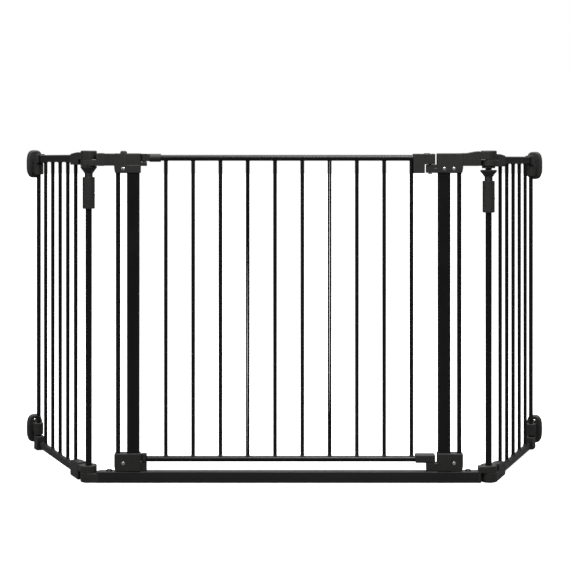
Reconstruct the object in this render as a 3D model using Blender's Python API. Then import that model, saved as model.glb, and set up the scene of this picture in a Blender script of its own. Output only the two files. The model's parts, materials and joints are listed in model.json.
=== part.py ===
"""A safety gate with a lift-and-swing door and two hinged side panels that reach back to a wall.

Metres, +Z up, +X to the right, +Y to the back. The origin is the centre of the sill's underside,
on the floor. Every panel's plane stands a little in front of the corner rods that it turns on, so
the panels line up when they are straight. A panel's left end carries the corner rod, a knuckle low
in the stack and the lock collar; its right end carries a cap that sits on top of that stack.
"""

import math

import bmesh
import bpy
from mathutils import Matrix, Vector

# Layout
HEIGHT = 0.729  # floor to the top of the corner caps
BAR_PITCH = 0.060
DOOR_BARS = 10
WING_BARS = 5  # bars of a side panel, besides its end post
LEFT_WING_ANGLE = 63.5  # degrees that the left panel is turned back from the frame
RIGHT_WING_ANGLE = 66.5
WING_RISE = 0.002  # the left panel rides this much high in its knuckles, the right one low

# Gaps
TOUCH = 0.0003  # between two pieces that touch, and round a pin in its bore
STEP = 0.0004  # between faces of joined shapes that would otherwise lie in one plane
SWING_CLEARANCE = 0.0035  # round a knuckle, for the piece that turns past it
PAST = 0.001  # how far a cutter runs past the face that it goes in through
MERGE = 0.002  # how far a shape runs into the one that it is joined to
ROUNDING = 0.002  # of a moulding's edges

# Steel
SILL_DEPTH = 0.020
SILL_HEIGHT = 0.025
SILL_WALL = 0.0015
POST_WIDTH = 0.027
POST_DEPTH = 0.018
POST_WALL = 0.0015
THIN_POST_DIAMETER = 0.010
ROD_DIAMETER = 0.014
ROD_WALL = 0.0015
BAR_DIAMETER = 0.0085
BAR_WALL = 0.0010
DOOR_RAIL_DIAMETER = 0.0132
RAIL_WALL = 0.0012
WING_RAIL_HEIGHT = 0.017
WING_RAIL_DEPTH = 0.010
WING_RAIL_CORNER = 0.003
END_POST_DIAMETER = 0.010

# Distances along the frame, from the door's outer bars outwards
HINGE_FROM_BAR = 0.048
KEEPER_FROM_BAR = 0.041
POST_FROM_HINGE = 0.010
POST_GAP = 0.015
ROD_FROM_THIN_POST = 0.066
ROD_BEHIND_PANEL = 0.009

# Corner joints
KNUCKLE_RADIUS = 0.018
CAP_THICKNESS = 0.020
KNUCKLE_THICKNESS = 0.0137
BOSS_RADIUS = 0.0145
BOSS_DEPTH = 0.005
FLOOR_KNUCKLE_THICKNESS = 0.0207
UPPER_FLOOR_KNUCKLE_THICKNESS = 0.015
ROD_IN_CAP = 0.012
CAP_RIM = 0.003  # rounding of the cap's top edge
WEB_PAST_AXIS = 0.0013  # how far a knuckle's web runs past the rod's axis
ROD_FOOT = 0.003  # material left under the rod's lower end
ARM_DEPTH = 0.020
ARM_DROP = 0.0055  # from the cap's top down to the arm's top
COLLAR_CONE = 0.015
COLLAR_NECK = 0.009
COLLAR_NECK_RADIUS = 0.009
COLLAR_GRIP = 0.070
COLLAR_GRIP_RADIUS = 0.0137
COLLAR_CHAMFER = 0.0012
COLLAR_TRAVEL = 0.0085
COLLAR_SCREW_HEIGHT = 0.032  # above the grip's lower end
COLLAR_SCREW_RADIUS = 0.003
COLLAR_SCREW_POCKET = 0.004
COLLAR_SCREW_PROUD = 0.001

# Brackets that hold the posts
BRACKET_DEPTH = 0.024
BRACKET_WALL = 0.002
BRACKET_SKIRT = 0.0155  # how far a bracket hangs below its arm
BRACKET_ROOF = 0.004
LOWER_BRACKET_TOP = 0.065
RIB_WIDTH = 0.0135
RIB_HEIGHT = 0.005
RIB_DEPTH = 0.016
RIB_ROUNDING = 0.0015
SCREW_HEAD_RADIUS = 0.004
SCREW_HEAD_DEPTH = 0.0018
SCREW_SHANK_RADIUS = 0.002
SCREW_LENGTH = 0.014
UPPER_SCREW_RISE = 0.0095  # above a bracket's lower edge
LOWER_SCREW_RISE = 0.018
BOLT_HEAD_RADIUS = 0.007
BOLT_HEAD_HEIGHT = 0.004
BOLT_SHANK_RADIUS = 0.003
BOLT_LENGTH = 0.010
BOLT_FROM_SILL_END = 0.022
SILL_PLUG_LENGTH = 0.012

# Door
DOOR_TOP_RAIL_ABOVE_ARM = 0.018  # rail's centre above the arm's underside
DOOR_BOTTOM_RAIL_HEIGHT = 0.0515
PIN_RADIUS = 0.003
BARREL_RADIUS = 0.0065
BUSH_FLANGE = 0.0015
BUSH_WALL = 0.0012
SHELF_THICKNESS = 0.008
UPPER_BARREL_HEIGHT = 0.0169
LOWER_BARREL_HEIGHT = 0.0186
LOWER_SHELF_TOP = 0.0433
BARREL_ROOF = 0.003
BUSH_HEADROOM = 0.001  # between the bush and the pin's top
PIN_SEAT = 0.0015  # material left under the upper hinge pin
LOWER_PIN_HOLD = 0.008
KEEPER_PIN_HOLD = 0.010
SLEEVE_RADIUS = 0.009
SLEEVE_FROM_HINGE = 0.0125
SLEEVE_LENGTH = 0.0245
SLEEVE_WEB = 0.009
SLEEVE_END_WALL = 0.0035
LOWER_SPIGOT_REACH = 0.026  # from the hinge's axis, inside the bottom rail
DOOR_LIFT = 0.012
LATCH_GAP = 0.0045  # between the latch and the post's bracket
KEEPER_PIN_SPARE = 0.002  # between a lifted latch and the keeper pin's tip
PIN_CHAMFER = 0.001
PIN_HEAD_RADIUS = 0.0045
PIN_HEAD_HEIGHT = 0.002
KEEPER_PAST_PIN = 0.0088  # how far a keeper's tongue runs beyond its pin
HOUSING_DEPTH = 0.024
HOUSING_LENGTH = 0.048
HOUSING_HEIGHT = 0.023
HOUSING_DROP_LENGTH = 0.025
HOUSING_WALL = 0.002
HOUSING_FLOOR = 0.003
RAIL_IN_HOUSING = 0.018
RAIL_SHORT_OF_SHOE = 0.0165
CAVITY_WIDTH = 0.015
CAVITY_HEIGHT = 0.014
TONGUE_DEPTH = 0.016
TONGUE_HEIGHT = 0.0192
SHOE_LENGTH = 0.0435
SHOE_DEPTH = 0.022
SHOE_HEIGHT = 0.0185
FOOT_DEPTH = 0.018
SLIDER_TRAVEL = 0.006
SLIDER_LEVEL = 0.0042  # the slider's plate above the housing's underside
SLIDER_PLATE = 0.0022
SLIDER_WIDTH = 0.013
SLIDER_BEFORE_PIN = 0.010
SLIDER_AFTER_PIN = 0.002
STEM_LENGTH = 0.004
STEM_WIDTH = 0.0056
THUMB_LENGTH = 0.012
THUMB_WIDTH = 0.0122
THUMB_RECESS = 0.0017
THUMB_PROUD = 0.0012
THUMB_BEFORE_PIN = 0.007  # thumb pad's middle
SPRING_LENGTH = 0.0207
SPRING_RADIUS = 0.0015
SPRING_WIRE = 0.0003
SPRING_TURNS = 9

# Side panels
FIRST_BAR_FROM_ROD = 0.066
WING_TOP_RAIL_BELOW_CAP = 0.0195  # rail's centre below the cap's top
WING_BOTTOM_RAIL_HEIGHT = 0.0125
NEAR_BLOCK_WALL = 0.0055
BLOCK_DEPTH = 0.020
BLOCK_PAST_BAR = 0.010
LOWER_BLOCK_HEIGHT = 0.0245  # above the bottom rail's centre
RAIL_IN_BLOCK = 0.003
END_BLOCK_WALL = 0.0025
FOOT_ABOVE_RAIL = 0.010  # of the lower end block
END_BLOCK_HOLD = 0.010
RAIL_SHORT_OF_END_POST = 0.003
END_BLOCK_PAST_POST = 0.013

# Wall plates
CLAMP_RADIUS = 0.011
CLAMP_HEIGHT = 0.028
NECK_WIDTH = 0.016
NECK_HEIGHT = 0.020
PLATE_REACH = 0.030
PLATE_THICKNESS = 0.012
PLATE_WIDTH = 0.038
PLATE_HEIGHT = 0.068
PLATE_ROUNDING = 0.0045
PLATE_HOLE_RADIUS = 0.0025
PLATE_HOLE_OFFSET = 0.022
UPPER_PLATE_RISE = 0.012  # plate's centre above its clamp's centre
LOWER_PLATE_RISE = -0.005
LOWER_CLAMP_ABOVE_RAIL = 0.0355

# Worked out from the sizes above
LAST_BAR = (DOOR_BARS - 1) / 2 * BAR_PITCH
HINGE_X = LAST_BAR + HINGE_FROM_BAR
KEEPER_X = LAST_BAR + KEEPER_FROM_BAR
POST_INNER_X = HINGE_X + POST_FROM_HINGE
POST_X = POST_INNER_X + POST_WIDTH / 2
THIN_POST_X = POST_X + POST_WIDTH / 2 + POST_GAP + THIN_POST_DIAMETER / 2
ROD_X = THIN_POST_X + ROD_FROM_THIN_POST
SCREW_X = POST_X + POST_WIDTH / 2 + POST_GAP / 2
KEEPER_PIN_RISE = DOOR_LIFT - KEEPER_PIN_SPARE
BRACKET_INNER_X = POST_INNER_X - BRACKET_WALL
BRACKET_OUTER_X = THIN_POST_X + THIN_POST_DIAMETER / 2 + BRACKET_WALL
BLOCK_START = KNUCKLE_RADIUS + SWING_CLEARANCE
SILL_END_X = ROD_X - BLOCK_START - 0.003
ROD_BORE = ROD_DIAMETER / 2 + TOUCH
CAP_BOTTOM = HEIGHT - CAP_THICKNESS
ARM_TOP = HEIGHT - ARM_DROP
KNUCKLE_TOP = CAP_BOTTOM - TOUCH
ARM_BOTTOM = KNUCKLE_TOP - KNUCKLE_THICKNESS
SKIRT_BOTTOM = ARM_BOTTOM - BRACKET_SKIRT
SOCKET_TOP = ARM_TOP - BRACKET_ROOF
UPPER_FLOOR_KNUCKLE = FLOOR_KNUCKLE_THICKNESS + TOUCH
DOOR_TOP_RAIL_Z = ARM_BOTTOM + DOOR_TOP_RAIL_ABOVE_ARM
UPPER_SHELF_TOP = ARM_BOTTOM + SHELF_THICKNESS
BUSH_BORE = PIN_RADIUS + TOUCH
BUSH_RADIUS = BUSH_BORE + BUSH_WALL
BARREL_BORE = BUSH_RADIUS + TOUCH
LATCH_OUTER_X = BRACKET_INNER_X - LATCH_GAP
HOUSING_TOP = SKIRT_BOTTOM + TONGUE_HEIGHT + TOUCH + HOUSING_HEIGHT
END_POST_FROM_ROD = FIRST_BAR_FROM_ROD + WING_BARS * BAR_PITCH
WING_TOP_RAIL_Z = HEIGHT - WING_TOP_RAIL_BELOW_CAP


def clear_scene():
    for obj in list(bpy.data.objects):
        bpy.data.objects.remove(obj, do_unlink=True)


def painted(name, colour, roughness, metallic):
    """A Principled material of one finish."""
    material = bpy.data.materials.new(name)
    material.use_nodes = True
    shader = material.node_tree.nodes["Principled BSDF"]
    shader.inputs["Base Color"].default_value = (*colour, 1.0)
    shader.inputs["Roughness"].default_value = roughness
    shader.inputs["Metallic"].default_value = metallic
    return material


# --- shapes -------------------------------------------------------------------------------------


def to_mesh(shape, name="shape"):
    mesh = bpy.data.meshes.new(name)
    shape.to_mesh(mesh)
    shape.free()
    return mesh


def block(x, y, z, rounding=0.0):
    """A box between two x, two y and two z values, with its edges bevelled by rounding."""
    shape = bmesh.new()
    bmesh.ops.create_cube(shape, size=1.0)
    low, high = (Vector(ends) for ends in zip(x, y, z))
    bmesh.ops.scale(shape, vec=high - low, verts=shape.verts)
    bmesh.ops.translate(shape, vec=(low + high) / 2, verts=shape.verts)
    if rounding:
        bmesh.ops.bevel(
            shape, geom=shape.edges[:], offset=rounding, segments=1, profile=0.5,
            affect="EDGES", material=-1,
        )
    return to_mesh(shape)


def cylinder(start, end, radius, sides=24, twist=0.0):
    """A solid cylinder from one point to another, its corners turned by twist degrees."""
    shape = bmesh.new()
    start, end = Vector(start), Vector(end)
    along = end - start
    turn = Vector((0, 0, 1)).rotation_difference(along).to_matrix().to_4x4()
    turn = turn @ Matrix.Rotation(math.radians(twist), 4, "Z")
    bmesh.ops.create_cone(
        shape, cap_ends=True, segments=sides, radius1=radius, radius2=radius,
        depth=along.length, matrix=Matrix.Translation((start + end) / 2) @ turn,
    )
    return to_mesh(shape)


def upright(x, y, low, high, radius, sides=24):
    return cylinder((x, y, low), (x, y, high), radius, sides)


def rod_bore(x, y, low, high):
    """The cutter for a corner rod's bore. Its corners miss those of the knuckle round it."""
    return cylinder((x, y, low), (x, y, high), ROD_BORE, 24, twist=2.0)


def turned(profile, x=0.0, y=0.0, sides=24):
    """The (radius, height) profile spun round a vertical axis. It is a loop, or ends on the axis."""
    shape = bmesh.new()
    points = [shape.verts.new((radius, 0, height)) for radius, height in profile]
    for one, other in zip(points, points[1:]):
        shape.edges.new((one, other))
    if profile[0][0] > 0:
        shape.edges.new((points[-1], points[0]))
    bmesh.ops.spin(
        shape, geom=shape.verts[:] + shape.edges[:], cent=(0, 0, 0), axis=(0, 0, 1),
        angle=2 * math.pi, steps=sides, use_merge=True,
    )
    bmesh.ops.remove_doubles(shape, verts=shape.verts, dist=1e-6)
    bmesh.ops.recalc_face_normals(shape, faces=shape.faces)
    bmesh.ops.translate(shape, vec=(x, y, 0), verts=shape.verts)
    return to_mesh(shape)


def prism(outline, low, high, axis="Z"):
    """The outline extruded along an axis. Its points are (x, y) for Z, and (y, z) for X."""
    shape = bmesh.new()
    place = {"Z": lambda u, v: (u, v, low), "X": lambda u, v: (low, u, v)}[axis]
    face = shape.faces.new([shape.verts.new(place(u, v)) for u, v in outline])
    grown = bmesh.ops.extrude_face_region(shape, geom=[face])["geom"]
    step = Vector((0, 0, high - low)) if axis == "Z" else Vector((high - low, 0, 0))
    moved = [item for item in grown if isinstance(item, bmesh.types.BMVert)]
    bmesh.ops.translate(shape, vec=step, verts=moved)
    bmesh.ops.recalc_face_normals(shape, faces=shape.faces)
    return to_mesh(shape)


def rounded_outline(width, height, corner, centre=(0.0, 0.0), steps=2):
    """A rectangle with round corners, anticlockwise."""
    points = []
    for quarter, (across, up) in enumerate(((1, 1), (-1, 1), (-1, -1), (1, -1))):
        middle = (
            centre[0] + across * (width / 2 - corner),
            centre[1] + up * (height / 2 - corner),
        )
        for step in range(steps + 1):
            angle = math.radians(90 * (quarter + step / steps))
            points.append(
                (middle[0] + corner * math.cos(angle), middle[1] + corner * math.sin(angle))
            )
    return points


def oval_outline(width, height, fullness=3.0, steps=24):
    """An oval a little squarer than an ellipse."""
    points = []
    for step in range(steps):
        angle = 2 * math.pi * step / steps
        across, up = math.cos(angle), math.sin(angle)
        points.append((
            width / 2 * math.copysign(abs(across) ** (2 / fullness), across),
            height / 2 * math.copysign(abs(up) ** (2 / fullness), up),
        ))
    return points


def together(meshes):
    """Shapes that don't meet, as one mesh."""
    shape = bmesh.new()
    for mesh in meshes:
        shape.from_mesh(mesh)
    return to_mesh(shape)


def carve(piece, tool_mesh, operation):
    """Joins the tool to the piece, or cuts it away, by an exact Boolean."""
    tool = bpy.data.objects.new("tool", tool_mesh)
    bpy.context.scene.collection.objects.link(tool)
    step = piece.modifiers.new("carve", "BOOLEAN")
    step.operation = operation
    step.object = tool
    graph = bpy.context.evaluated_depsgraph_get()
    piece.data = bpy.data.meshes.new_from_object(piece.evaluated_get(graph))
    piece.modifiers.clear()
    bpy.data.objects.remove(tool, do_unlink=True)


def make(name, material, shape, joined=(), cut=(), parent=None, at=(0, 0, 0), turn=0.0):
    """One sub-part: a shape with others joined to it and others cut from it, put in its place."""
    piece = bpy.data.objects.new(name, shape)
    bpy.context.scene.collection.objects.link(piece)
    for tool in joined:
        carve(piece, tool, "UNION")
    for tool in cut:
        carve(piece, tool, "DIFFERENCE")
    piece.data.name = name
    piece.data.materials.clear()
    piece.data.materials.append(material)
    piece.data.shade_smooth()
    piece.data.set_sharp_from_angle(angle=math.radians(35))
    piece.parent = parent
    piece.location = at
    piece.rotation_euler = (0, 0, turn)
    return piece


def axis_point(name, at, turn=0.0, parent=None):
    """An empty on a joint's axis, which the pieces that turn or slide there hang from."""
    empty = bpy.data.objects.new(name, None)
    bpy.context.scene.collection.objects.link(empty)
    empty.location = at
    empty.rotation_euler = (0, 0, turn)
    empty.parent = parent
    return empty


def pipe(start, end, diameter, wall, sides=16):
    """A round tube's solid and the bore to cut from it."""
    start, end = Vector(start), Vector(end)
    beyond = (end - start).normalized() * PAST
    return (
        cylinder(start, end, diameter / 2, sides),
        cylinder(start - beyond, end + beyond, diameter / 2 - wall, sides),
    )


def box_tube(width, height, wall, corner, low, high, axis, centre=(0.0, 0.0)):
    """A tube of rounded rectangular section, and the bore to cut from it."""
    inner = (width - 2 * wall, height - 2 * wall, max(corner - wall, 0.0005), centre)
    return (
        prism(rounded_outline(width, height, corner, centre), low, high, axis),
        prism(rounded_outline(*inner), low - PAST, high + PAST, axis),
    )


# --- frame --------------------------------------------------------------------------------------


def build_sill(steel):
    bolt_places = [side * (SILL_END_X - BOLT_FROM_SILL_END) for side in (-1, 1)]
    shape, bore = box_tube(
        SILL_DEPTH, SILL_HEIGHT, SILL_WALL, 0.002, -SILL_END_X, SILL_END_X, "X",
        centre=(0.0, SILL_HEIGHT / 2),
    )
    hole_radius = BOLT_SHANK_RADIUS + TOUCH
    holes = [
        upright(x, 0, SILL_HEIGHT - 2 * SILL_WALL, SILL_HEIGHT + PAST, hole_radius, 12)
        for x in bolt_places
    ]
    make("sill_tube", steel, shape, cut=[bore, together(holes)])
    head = SILL_HEIGHT + TOUCH
    profile = [
        (0, head - BOLT_LENGTH),
        (BOLT_SHANK_RADIUS, head - BOLT_LENGTH),
        (BOLT_SHANK_RADIUS, head),
        (BOLT_HEAD_RADIUS, head),
        (BOLT_HEAD_RADIUS * 0.8, head + BOLT_HEAD_HEIGHT * 0.75),
        (0, head + BOLT_HEAD_HEIGHT),
    ]
    for side, x in zip(("left", "right"), bolt_places):
        make(f"{side}_sill_bolt", steel, turned(profile, sides=16), at=(x, 0, 0))


def build_posts(steel):
    low, high = SILL_HEIGHT + TOUCH, SOCKET_TOP - TOUCH
    for side, sign in (("left", -1), ("right", 1)):
        shape, bore = box_tube(
            POST_WIDTH, POST_DEPTH, POST_WALL, 0.003, low, high, "Z"
        )
        holes = []
        if side == "right":
            z = upper_screw_height()
            holes = [cylinder((0, -POST_DEPTH, z), (0, 0, z), SCREW_SHANK_RADIUS + TOUCH, 12)]
        make(f"{side}_wide_post", steel, shape, cut=[bore, *holes], at=(sign * POST_X, 0, 0))
        shape, bore = pipe((0, 0, low), (0, 0, high), THIN_POST_DIAMETER, RAIL_WALL)
        make(f"{side}_thin_post", steel, shape, cut=[bore], at=(sign * THIN_POST_X, 0, 0))


def post_sockets(sign, low, high):
    """The two holes that a bracket slides over the posts with."""
    wide = rounded_outline(
        POST_WIDTH + 2 * TOUCH, POST_DEPTH + 2 * TOUCH, 0.003, (sign * POST_X, 0)
    )
    return [
        prism(wide, low, high),
        upright(sign * THIN_POST_X, 0, low, high, THIN_POST_DIAMETER / 2 + TOUCH, 16),
    ]


def screw_hole(x, z):
    """A counterbored hole in a bracket's front face."""
    front = -BRACKET_DEPTH / 2
    head_end = front + SCREW_HEAD_DEPTH + TOUCH
    return [
        cylinder((x, front - PAST, z), (x, head_end, z), SCREW_HEAD_RADIUS + TOUCH, 16),
        cylinder(
            (x, front, z), (x, front + SCREW_LENGTH + 2 * TOUCH, z), SCREW_SHANK_RADIUS + TOUCH, 12
        ),
    ]


def upper_screw_height():
    return SKIRT_BOTTOM + UPPER_SCREW_RISE


def lower_screw_height():
    return SILL_HEIGHT + TOUCH + LOWER_SCREW_RISE


def across(sign, near, far):
    """Two distances from the centre as a low and a high x on the left (-1) or the right (1)."""
    return tuple(sorted((sign * near, sign * far)))


def arm(sign):
    """The beam from a post's bracket to the corner, at the height of a knuckle and cap."""
    return block(
        across(sign, BRACKET_OUTER_X - MERGE, ROD_X - BLOCK_START),
        (-ARM_DEPTH / 2, ARM_DEPTH / 2), (ARM_BOTTOM, ARM_TOP), ROUNDING,
    )


def hinge_shelf(low, high):
    """The shelf beside the left post that the door's hinge stands on."""
    reach = (-BRACKET_INNER_X - MERGE, -HINGE_X)
    return [
        block(reach, (STEP - BARREL_RADIUS, BARREL_RADIUS - STEP), (low + STEP, high - STEP)),
        upright(-HINGE_X, 0, low, high, BARREL_RADIUS, 20),
    ]


def build_upper_brackets(plastic):
    body_z = (SKIRT_BOTTOM, ARM_TOP)
    body_y = (-BRACKET_DEPTH / 2, BRACKET_DEPTH / 2)
    web_y = (STEP - ARM_DEPTH / 2, ARM_DEPTH / 2 - STEP)
    rib_x = (-SCREW_X - RIB_WIDTH / 2, -SCREW_X + RIB_WIDTH / 2)
    make(
        "upper_hinge_bracket", plastic,
        block(across(-1, BRACKET_INNER_X, BRACKET_OUTER_X), body_y, body_z, ROUNDING),
        joined=[
            arm(-1),
            block(
                rib_x, (-RIB_DEPTH / 2, RIB_DEPTH / 2), (ARM_TOP - MERGE, ARM_TOP + RIB_HEIGHT),
                RIB_ROUNDING,
            ),
            block(
                across(-1, ROD_X - BLOCK_START - MERGE, ROD_X + WEB_PAST_AXIS), web_y,
                (ARM_BOTTOM + STEP, KNUCKLE_TOP - STEP),
            ),
            upright(-ROD_X, ROD_BEHIND_PANEL, ARM_BOTTOM, KNUCKLE_TOP, KNUCKLE_RADIUS, 28),
            upright(
                -ROD_X, ROD_BEHIND_PANEL, ARM_BOTTOM - BOSS_DEPTH, ARM_BOTTOM + MERGE,
                BOSS_RADIUS, 20,
            ),
            *hinge_shelf(ARM_BOTTOM, UPPER_SHELF_TOP),
        ],
        cut=[
            *post_sockets(-1, SKIRT_BOTTOM - PAST, SOCKET_TOP),
            *screw_hole(-SCREW_X, upper_screw_height()),
            rod_bore(-ROD_X, ROD_BEHIND_PANEL, SKIRT_BOTTOM, HEIGHT),
            upright(-HINGE_X, 0, ARM_BOTTOM + PIN_SEAT, HEIGHT, BUSH_BORE, 12),
        ],
    )
    tongue_top = SKIRT_BOTTOM + TONGUE_HEIGHT
    make(
        "upper_keeper_bracket", plastic,
        block(across(1, BRACKET_INNER_X, BRACKET_OUTER_X), body_y, body_z, ROUNDING),
        joined=[
            arm(1),
            block(
                (KEEPER_X - KEEPER_PAST_PIN, BRACKET_INNER_X + 2 * MERGE),
                (-TONGUE_DEPTH / 2, TONGUE_DEPTH / 2), (SKIRT_BOTTOM + STEP, tongue_top), ROUNDING,
            ),
            block(
                across(1, ROD_X - BLOCK_START - MERGE, ROD_X + WEB_PAST_AXIS), web_y,
                (CAP_BOTTOM + STEP, HEIGHT - CAP_RIM),
            ),
            corner_cap(ROD_X, ROD_BEHIND_PANEL),
        ],
        cut=[
            *post_sockets(1, SKIRT_BOTTOM - PAST, SOCKET_TOP),
            *screw_hole(POST_X, upper_screw_height()),
            *screw_hole(SCREW_X, upper_screw_height()),
            rod_bore(ROD_X, ROD_BEHIND_PANEL, SKIRT_BOTTOM, rod_top() + TOUCH),
            upright(KEEPER_X, 0, SKIRT_BOTTOM - PAST, HEIGHT, BUSH_BORE, 12),
        ],
    )


def rod_top():
    return CAP_BOTTOM + ROD_IN_CAP


def corner_cap(x, y):
    """The round cap on top of a corner, with its rim rounded."""
    profile = [
        (0, CAP_BOTTOM),
        (KNUCKLE_RADIUS, CAP_BOTTOM),
        (KNUCKLE_RADIUS, HEIGHT - CAP_RIM),
        (KNUCKLE_RADIUS - 0.3 * CAP_RIM, HEIGHT - 0.3 * CAP_RIM),
        (KNUCKLE_RADIUS - CAP_RIM, HEIGHT),
        (0, HEIGHT),
    ]
    return turned(profile, x, y, 28)


def build_lower_brackets(plastic):
    low = SILL_HEIGHT + TOUCH
    body_y = (-BRACKET_DEPTH / 2, BRACKET_DEPTH / 2)
    make(
        "lower_hinge_bracket", plastic,
        block(
            across(-1, BRACKET_INNER_X, BRACKET_OUTER_X), body_y, (low, LOWER_BRACKET_TOP),
            ROUNDING,
        ),
        joined=hinge_shelf(low, LOWER_SHELF_TOP),
        cut=[
            *post_sockets(-1, low - PAST, LOWER_BRACKET_TOP + PAST),
            *screw_hole(-SCREW_X, lower_screw_height()),
            upright(-HINGE_X, 0, LOWER_SHELF_TOP - LOWER_PIN_HOLD, HEIGHT, BUSH_BORE, 12),
        ],
    )
    make(
        "lower_keeper_bracket", plastic,
        block(
            across(1, BRACKET_INNER_X, BRACKET_OUTER_X), body_y, (low, LOWER_BRACKET_TOP),
            ROUNDING,
        ),
        joined=[
            block(
                (KEEPER_X - KEEPER_PAST_PIN, BRACKET_INNER_X + 2 * MERGE),
                (-FOOT_DEPTH / 2, FOOT_DEPTH / 2), (low + STEP, LOWER_SHELF_TOP), ROUNDING,
            )
        ],
        cut=[
            *post_sockets(1, low - PAST, LOWER_BRACKET_TOP + PAST),
            *screw_hole(SCREW_X, lower_screw_height()),
            upright(KEEPER_X, 0, LOWER_SHELF_TOP - KEEPER_PIN_HOLD, HEIGHT, BUSH_BORE, 12),
        ],
    )


def build_screws(zinc):
    """The pan-head screws that hold the brackets to the posts, driven in from the front."""
    upper, lower = upper_screw_height(), lower_screw_height()
    front = -BRACKET_DEPTH / 2
    for name, x, z in (
        ("upper_hinge_bracket_screw", -SCREW_X, upper),
        ("upper_keeper_bracket_inner_screw", POST_X, upper),
        ("upper_keeper_bracket_outer_screw", SCREW_X, upper),
        ("lower_hinge_bracket_screw", -SCREW_X, lower),
        ("lower_keeper_bracket_screw", SCREW_X, lower),
    ):
        head = cylinder((0, 0, 0), (0, SCREW_HEAD_DEPTH, 0), SCREW_HEAD_RADIUS, 16)
        shank = cylinder((0, SCREW_HEAD_DEPTH / 2, 0), (0, SCREW_LENGTH, 0), SCREW_SHANK_RADIUS, 12)
        make(name, zinc, head, joined=[shank], at=(x, front, z))


def build_pins(zinc):
    """The hinge pins and the keeper pins, all standing in the frame's brackets."""
    hinges = (
        ("upper_hinge_pin", ARM_BOTTOM + PIN_SEAT, UPPER_SHELF_TOP, UPPER_BARREL_HEIGHT),
        ("lower_hinge_pin", LOWER_SHELF_TOP - LOWER_PIN_HOLD, LOWER_SHELF_TOP, LOWER_BARREL_HEIGHT),
    )
    for name, seat, shelf_top, barrel_height in hinges:
        top = shelf_top + barrel_inside(barrel_height)
        make(name, zinc, upright(0, 0, seat + TOUCH, top, PIN_RADIUS, 12), at=(-HINGE_X, 0, 0))

    def tip(keeper_top):
        return [
            (PIN_RADIUS, keeper_top + KEEPER_PIN_RISE - PIN_CHAMFER),
            (PIN_RADIUS - PIN_CHAMFER, keeper_top + KEEPER_PIN_RISE),
            (0, keeper_top + KEEPER_PIN_RISE),
        ]

    head_top = SKIRT_BOTTOM - TOUCH
    head = [
        (0, head_top - PIN_HEAD_HEIGHT),
        (PIN_HEAD_RADIUS - PIN_CHAMFER, head_top - PIN_HEAD_HEIGHT),
        (PIN_HEAD_RADIUS, head_top - PIN_HEAD_HEIGHT + PIN_CHAMFER),
        (PIN_HEAD_RADIUS, head_top),
        (PIN_RADIUS, head_top),
    ]
    make(
        "upper_keeper_pin", zinc,
        turned([*head, *tip(SKIRT_BOTTOM + TONGUE_HEIGHT)], sides=12), at=(KEEPER_X, 0, 0),
    )
    foot = LOWER_SHELF_TOP - KEEPER_PIN_HOLD + TOUCH
    make(
        "lower_keeper_pin", zinc,
        turned([(0, foot), (PIN_RADIUS, foot), *tip(LOWER_SHELF_TOP)], sides=12),
        at=(KEEPER_X, 0, 0),
    )


def build_floor_knuckles(plastic):
    """The frame's lower corners. Each plugs into an end of the sill."""
    plug_y = (-SILL_DEPTH / 2 + SILL_WALL + TOUCH, SILL_DEPTH / 2 - SILL_WALL - TOUCH)
    plug_z = (SILL_WALL + TOUCH, SILL_HEIGHT - SILL_WALL - TOUCH)
    arm_y = (-SILL_DEPTH / 2, SILL_DEPTH / 2)
    inner_y = (STEP - SILL_DEPTH / 2, SILL_DEPTH / 2 - STEP)
    end = SILL_END_X + TOUCH
    levels = {
        "left": (0.0, FLOOR_KNUCKLE_THICKNESS, ROD_FOOT),
        "right": (
            UPPER_FLOOR_KNUCKLE, UPPER_FLOOR_KNUCKLE + UPPER_FLOOR_KNUCKLE_THICKNESS, -PAST
        ),
    }
    for side, sign in (("left", -1), ("right", 1)):
        low, high, bore_from = levels[side]
        make(
            f"{side}_floor_knuckle", plastic,
            upright(sign * ROD_X, ROD_BEHIND_PANEL, low, high, KNUCKLE_RADIUS, 28),
            joined=[
                block(
                    across(sign, end + STEP, ROD_X + WEB_PAST_AXIS), inner_y,
                    (low + STEP, high - STEP),
                ),
                block(
                    across(sign, end, ROD_X - BLOCK_START), arm_y, (0.0, max(high, SILL_HEIGHT))
                ),
                block(across(sign, SILL_END_X - SILL_PLUG_LENGTH, end + MERGE), plug_y, plug_z),
            ],
            cut=[rod_bore(sign * ROD_X, ROD_BEHIND_PANEL, bore_from, high + PAST)],
        )


# --- corner rods and lock collars ---------------------------------------------------------------


def build_rod(name, steel, parent, at):
    shape, bore = pipe((0, 0, ROD_FOOT + TOUCH), (0, 0, rod_top()), ROD_DIAMETER, ROD_WALL, 24)
    make(name, steel, shape, cut=[bore], parent=parent, at=at)


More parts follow.
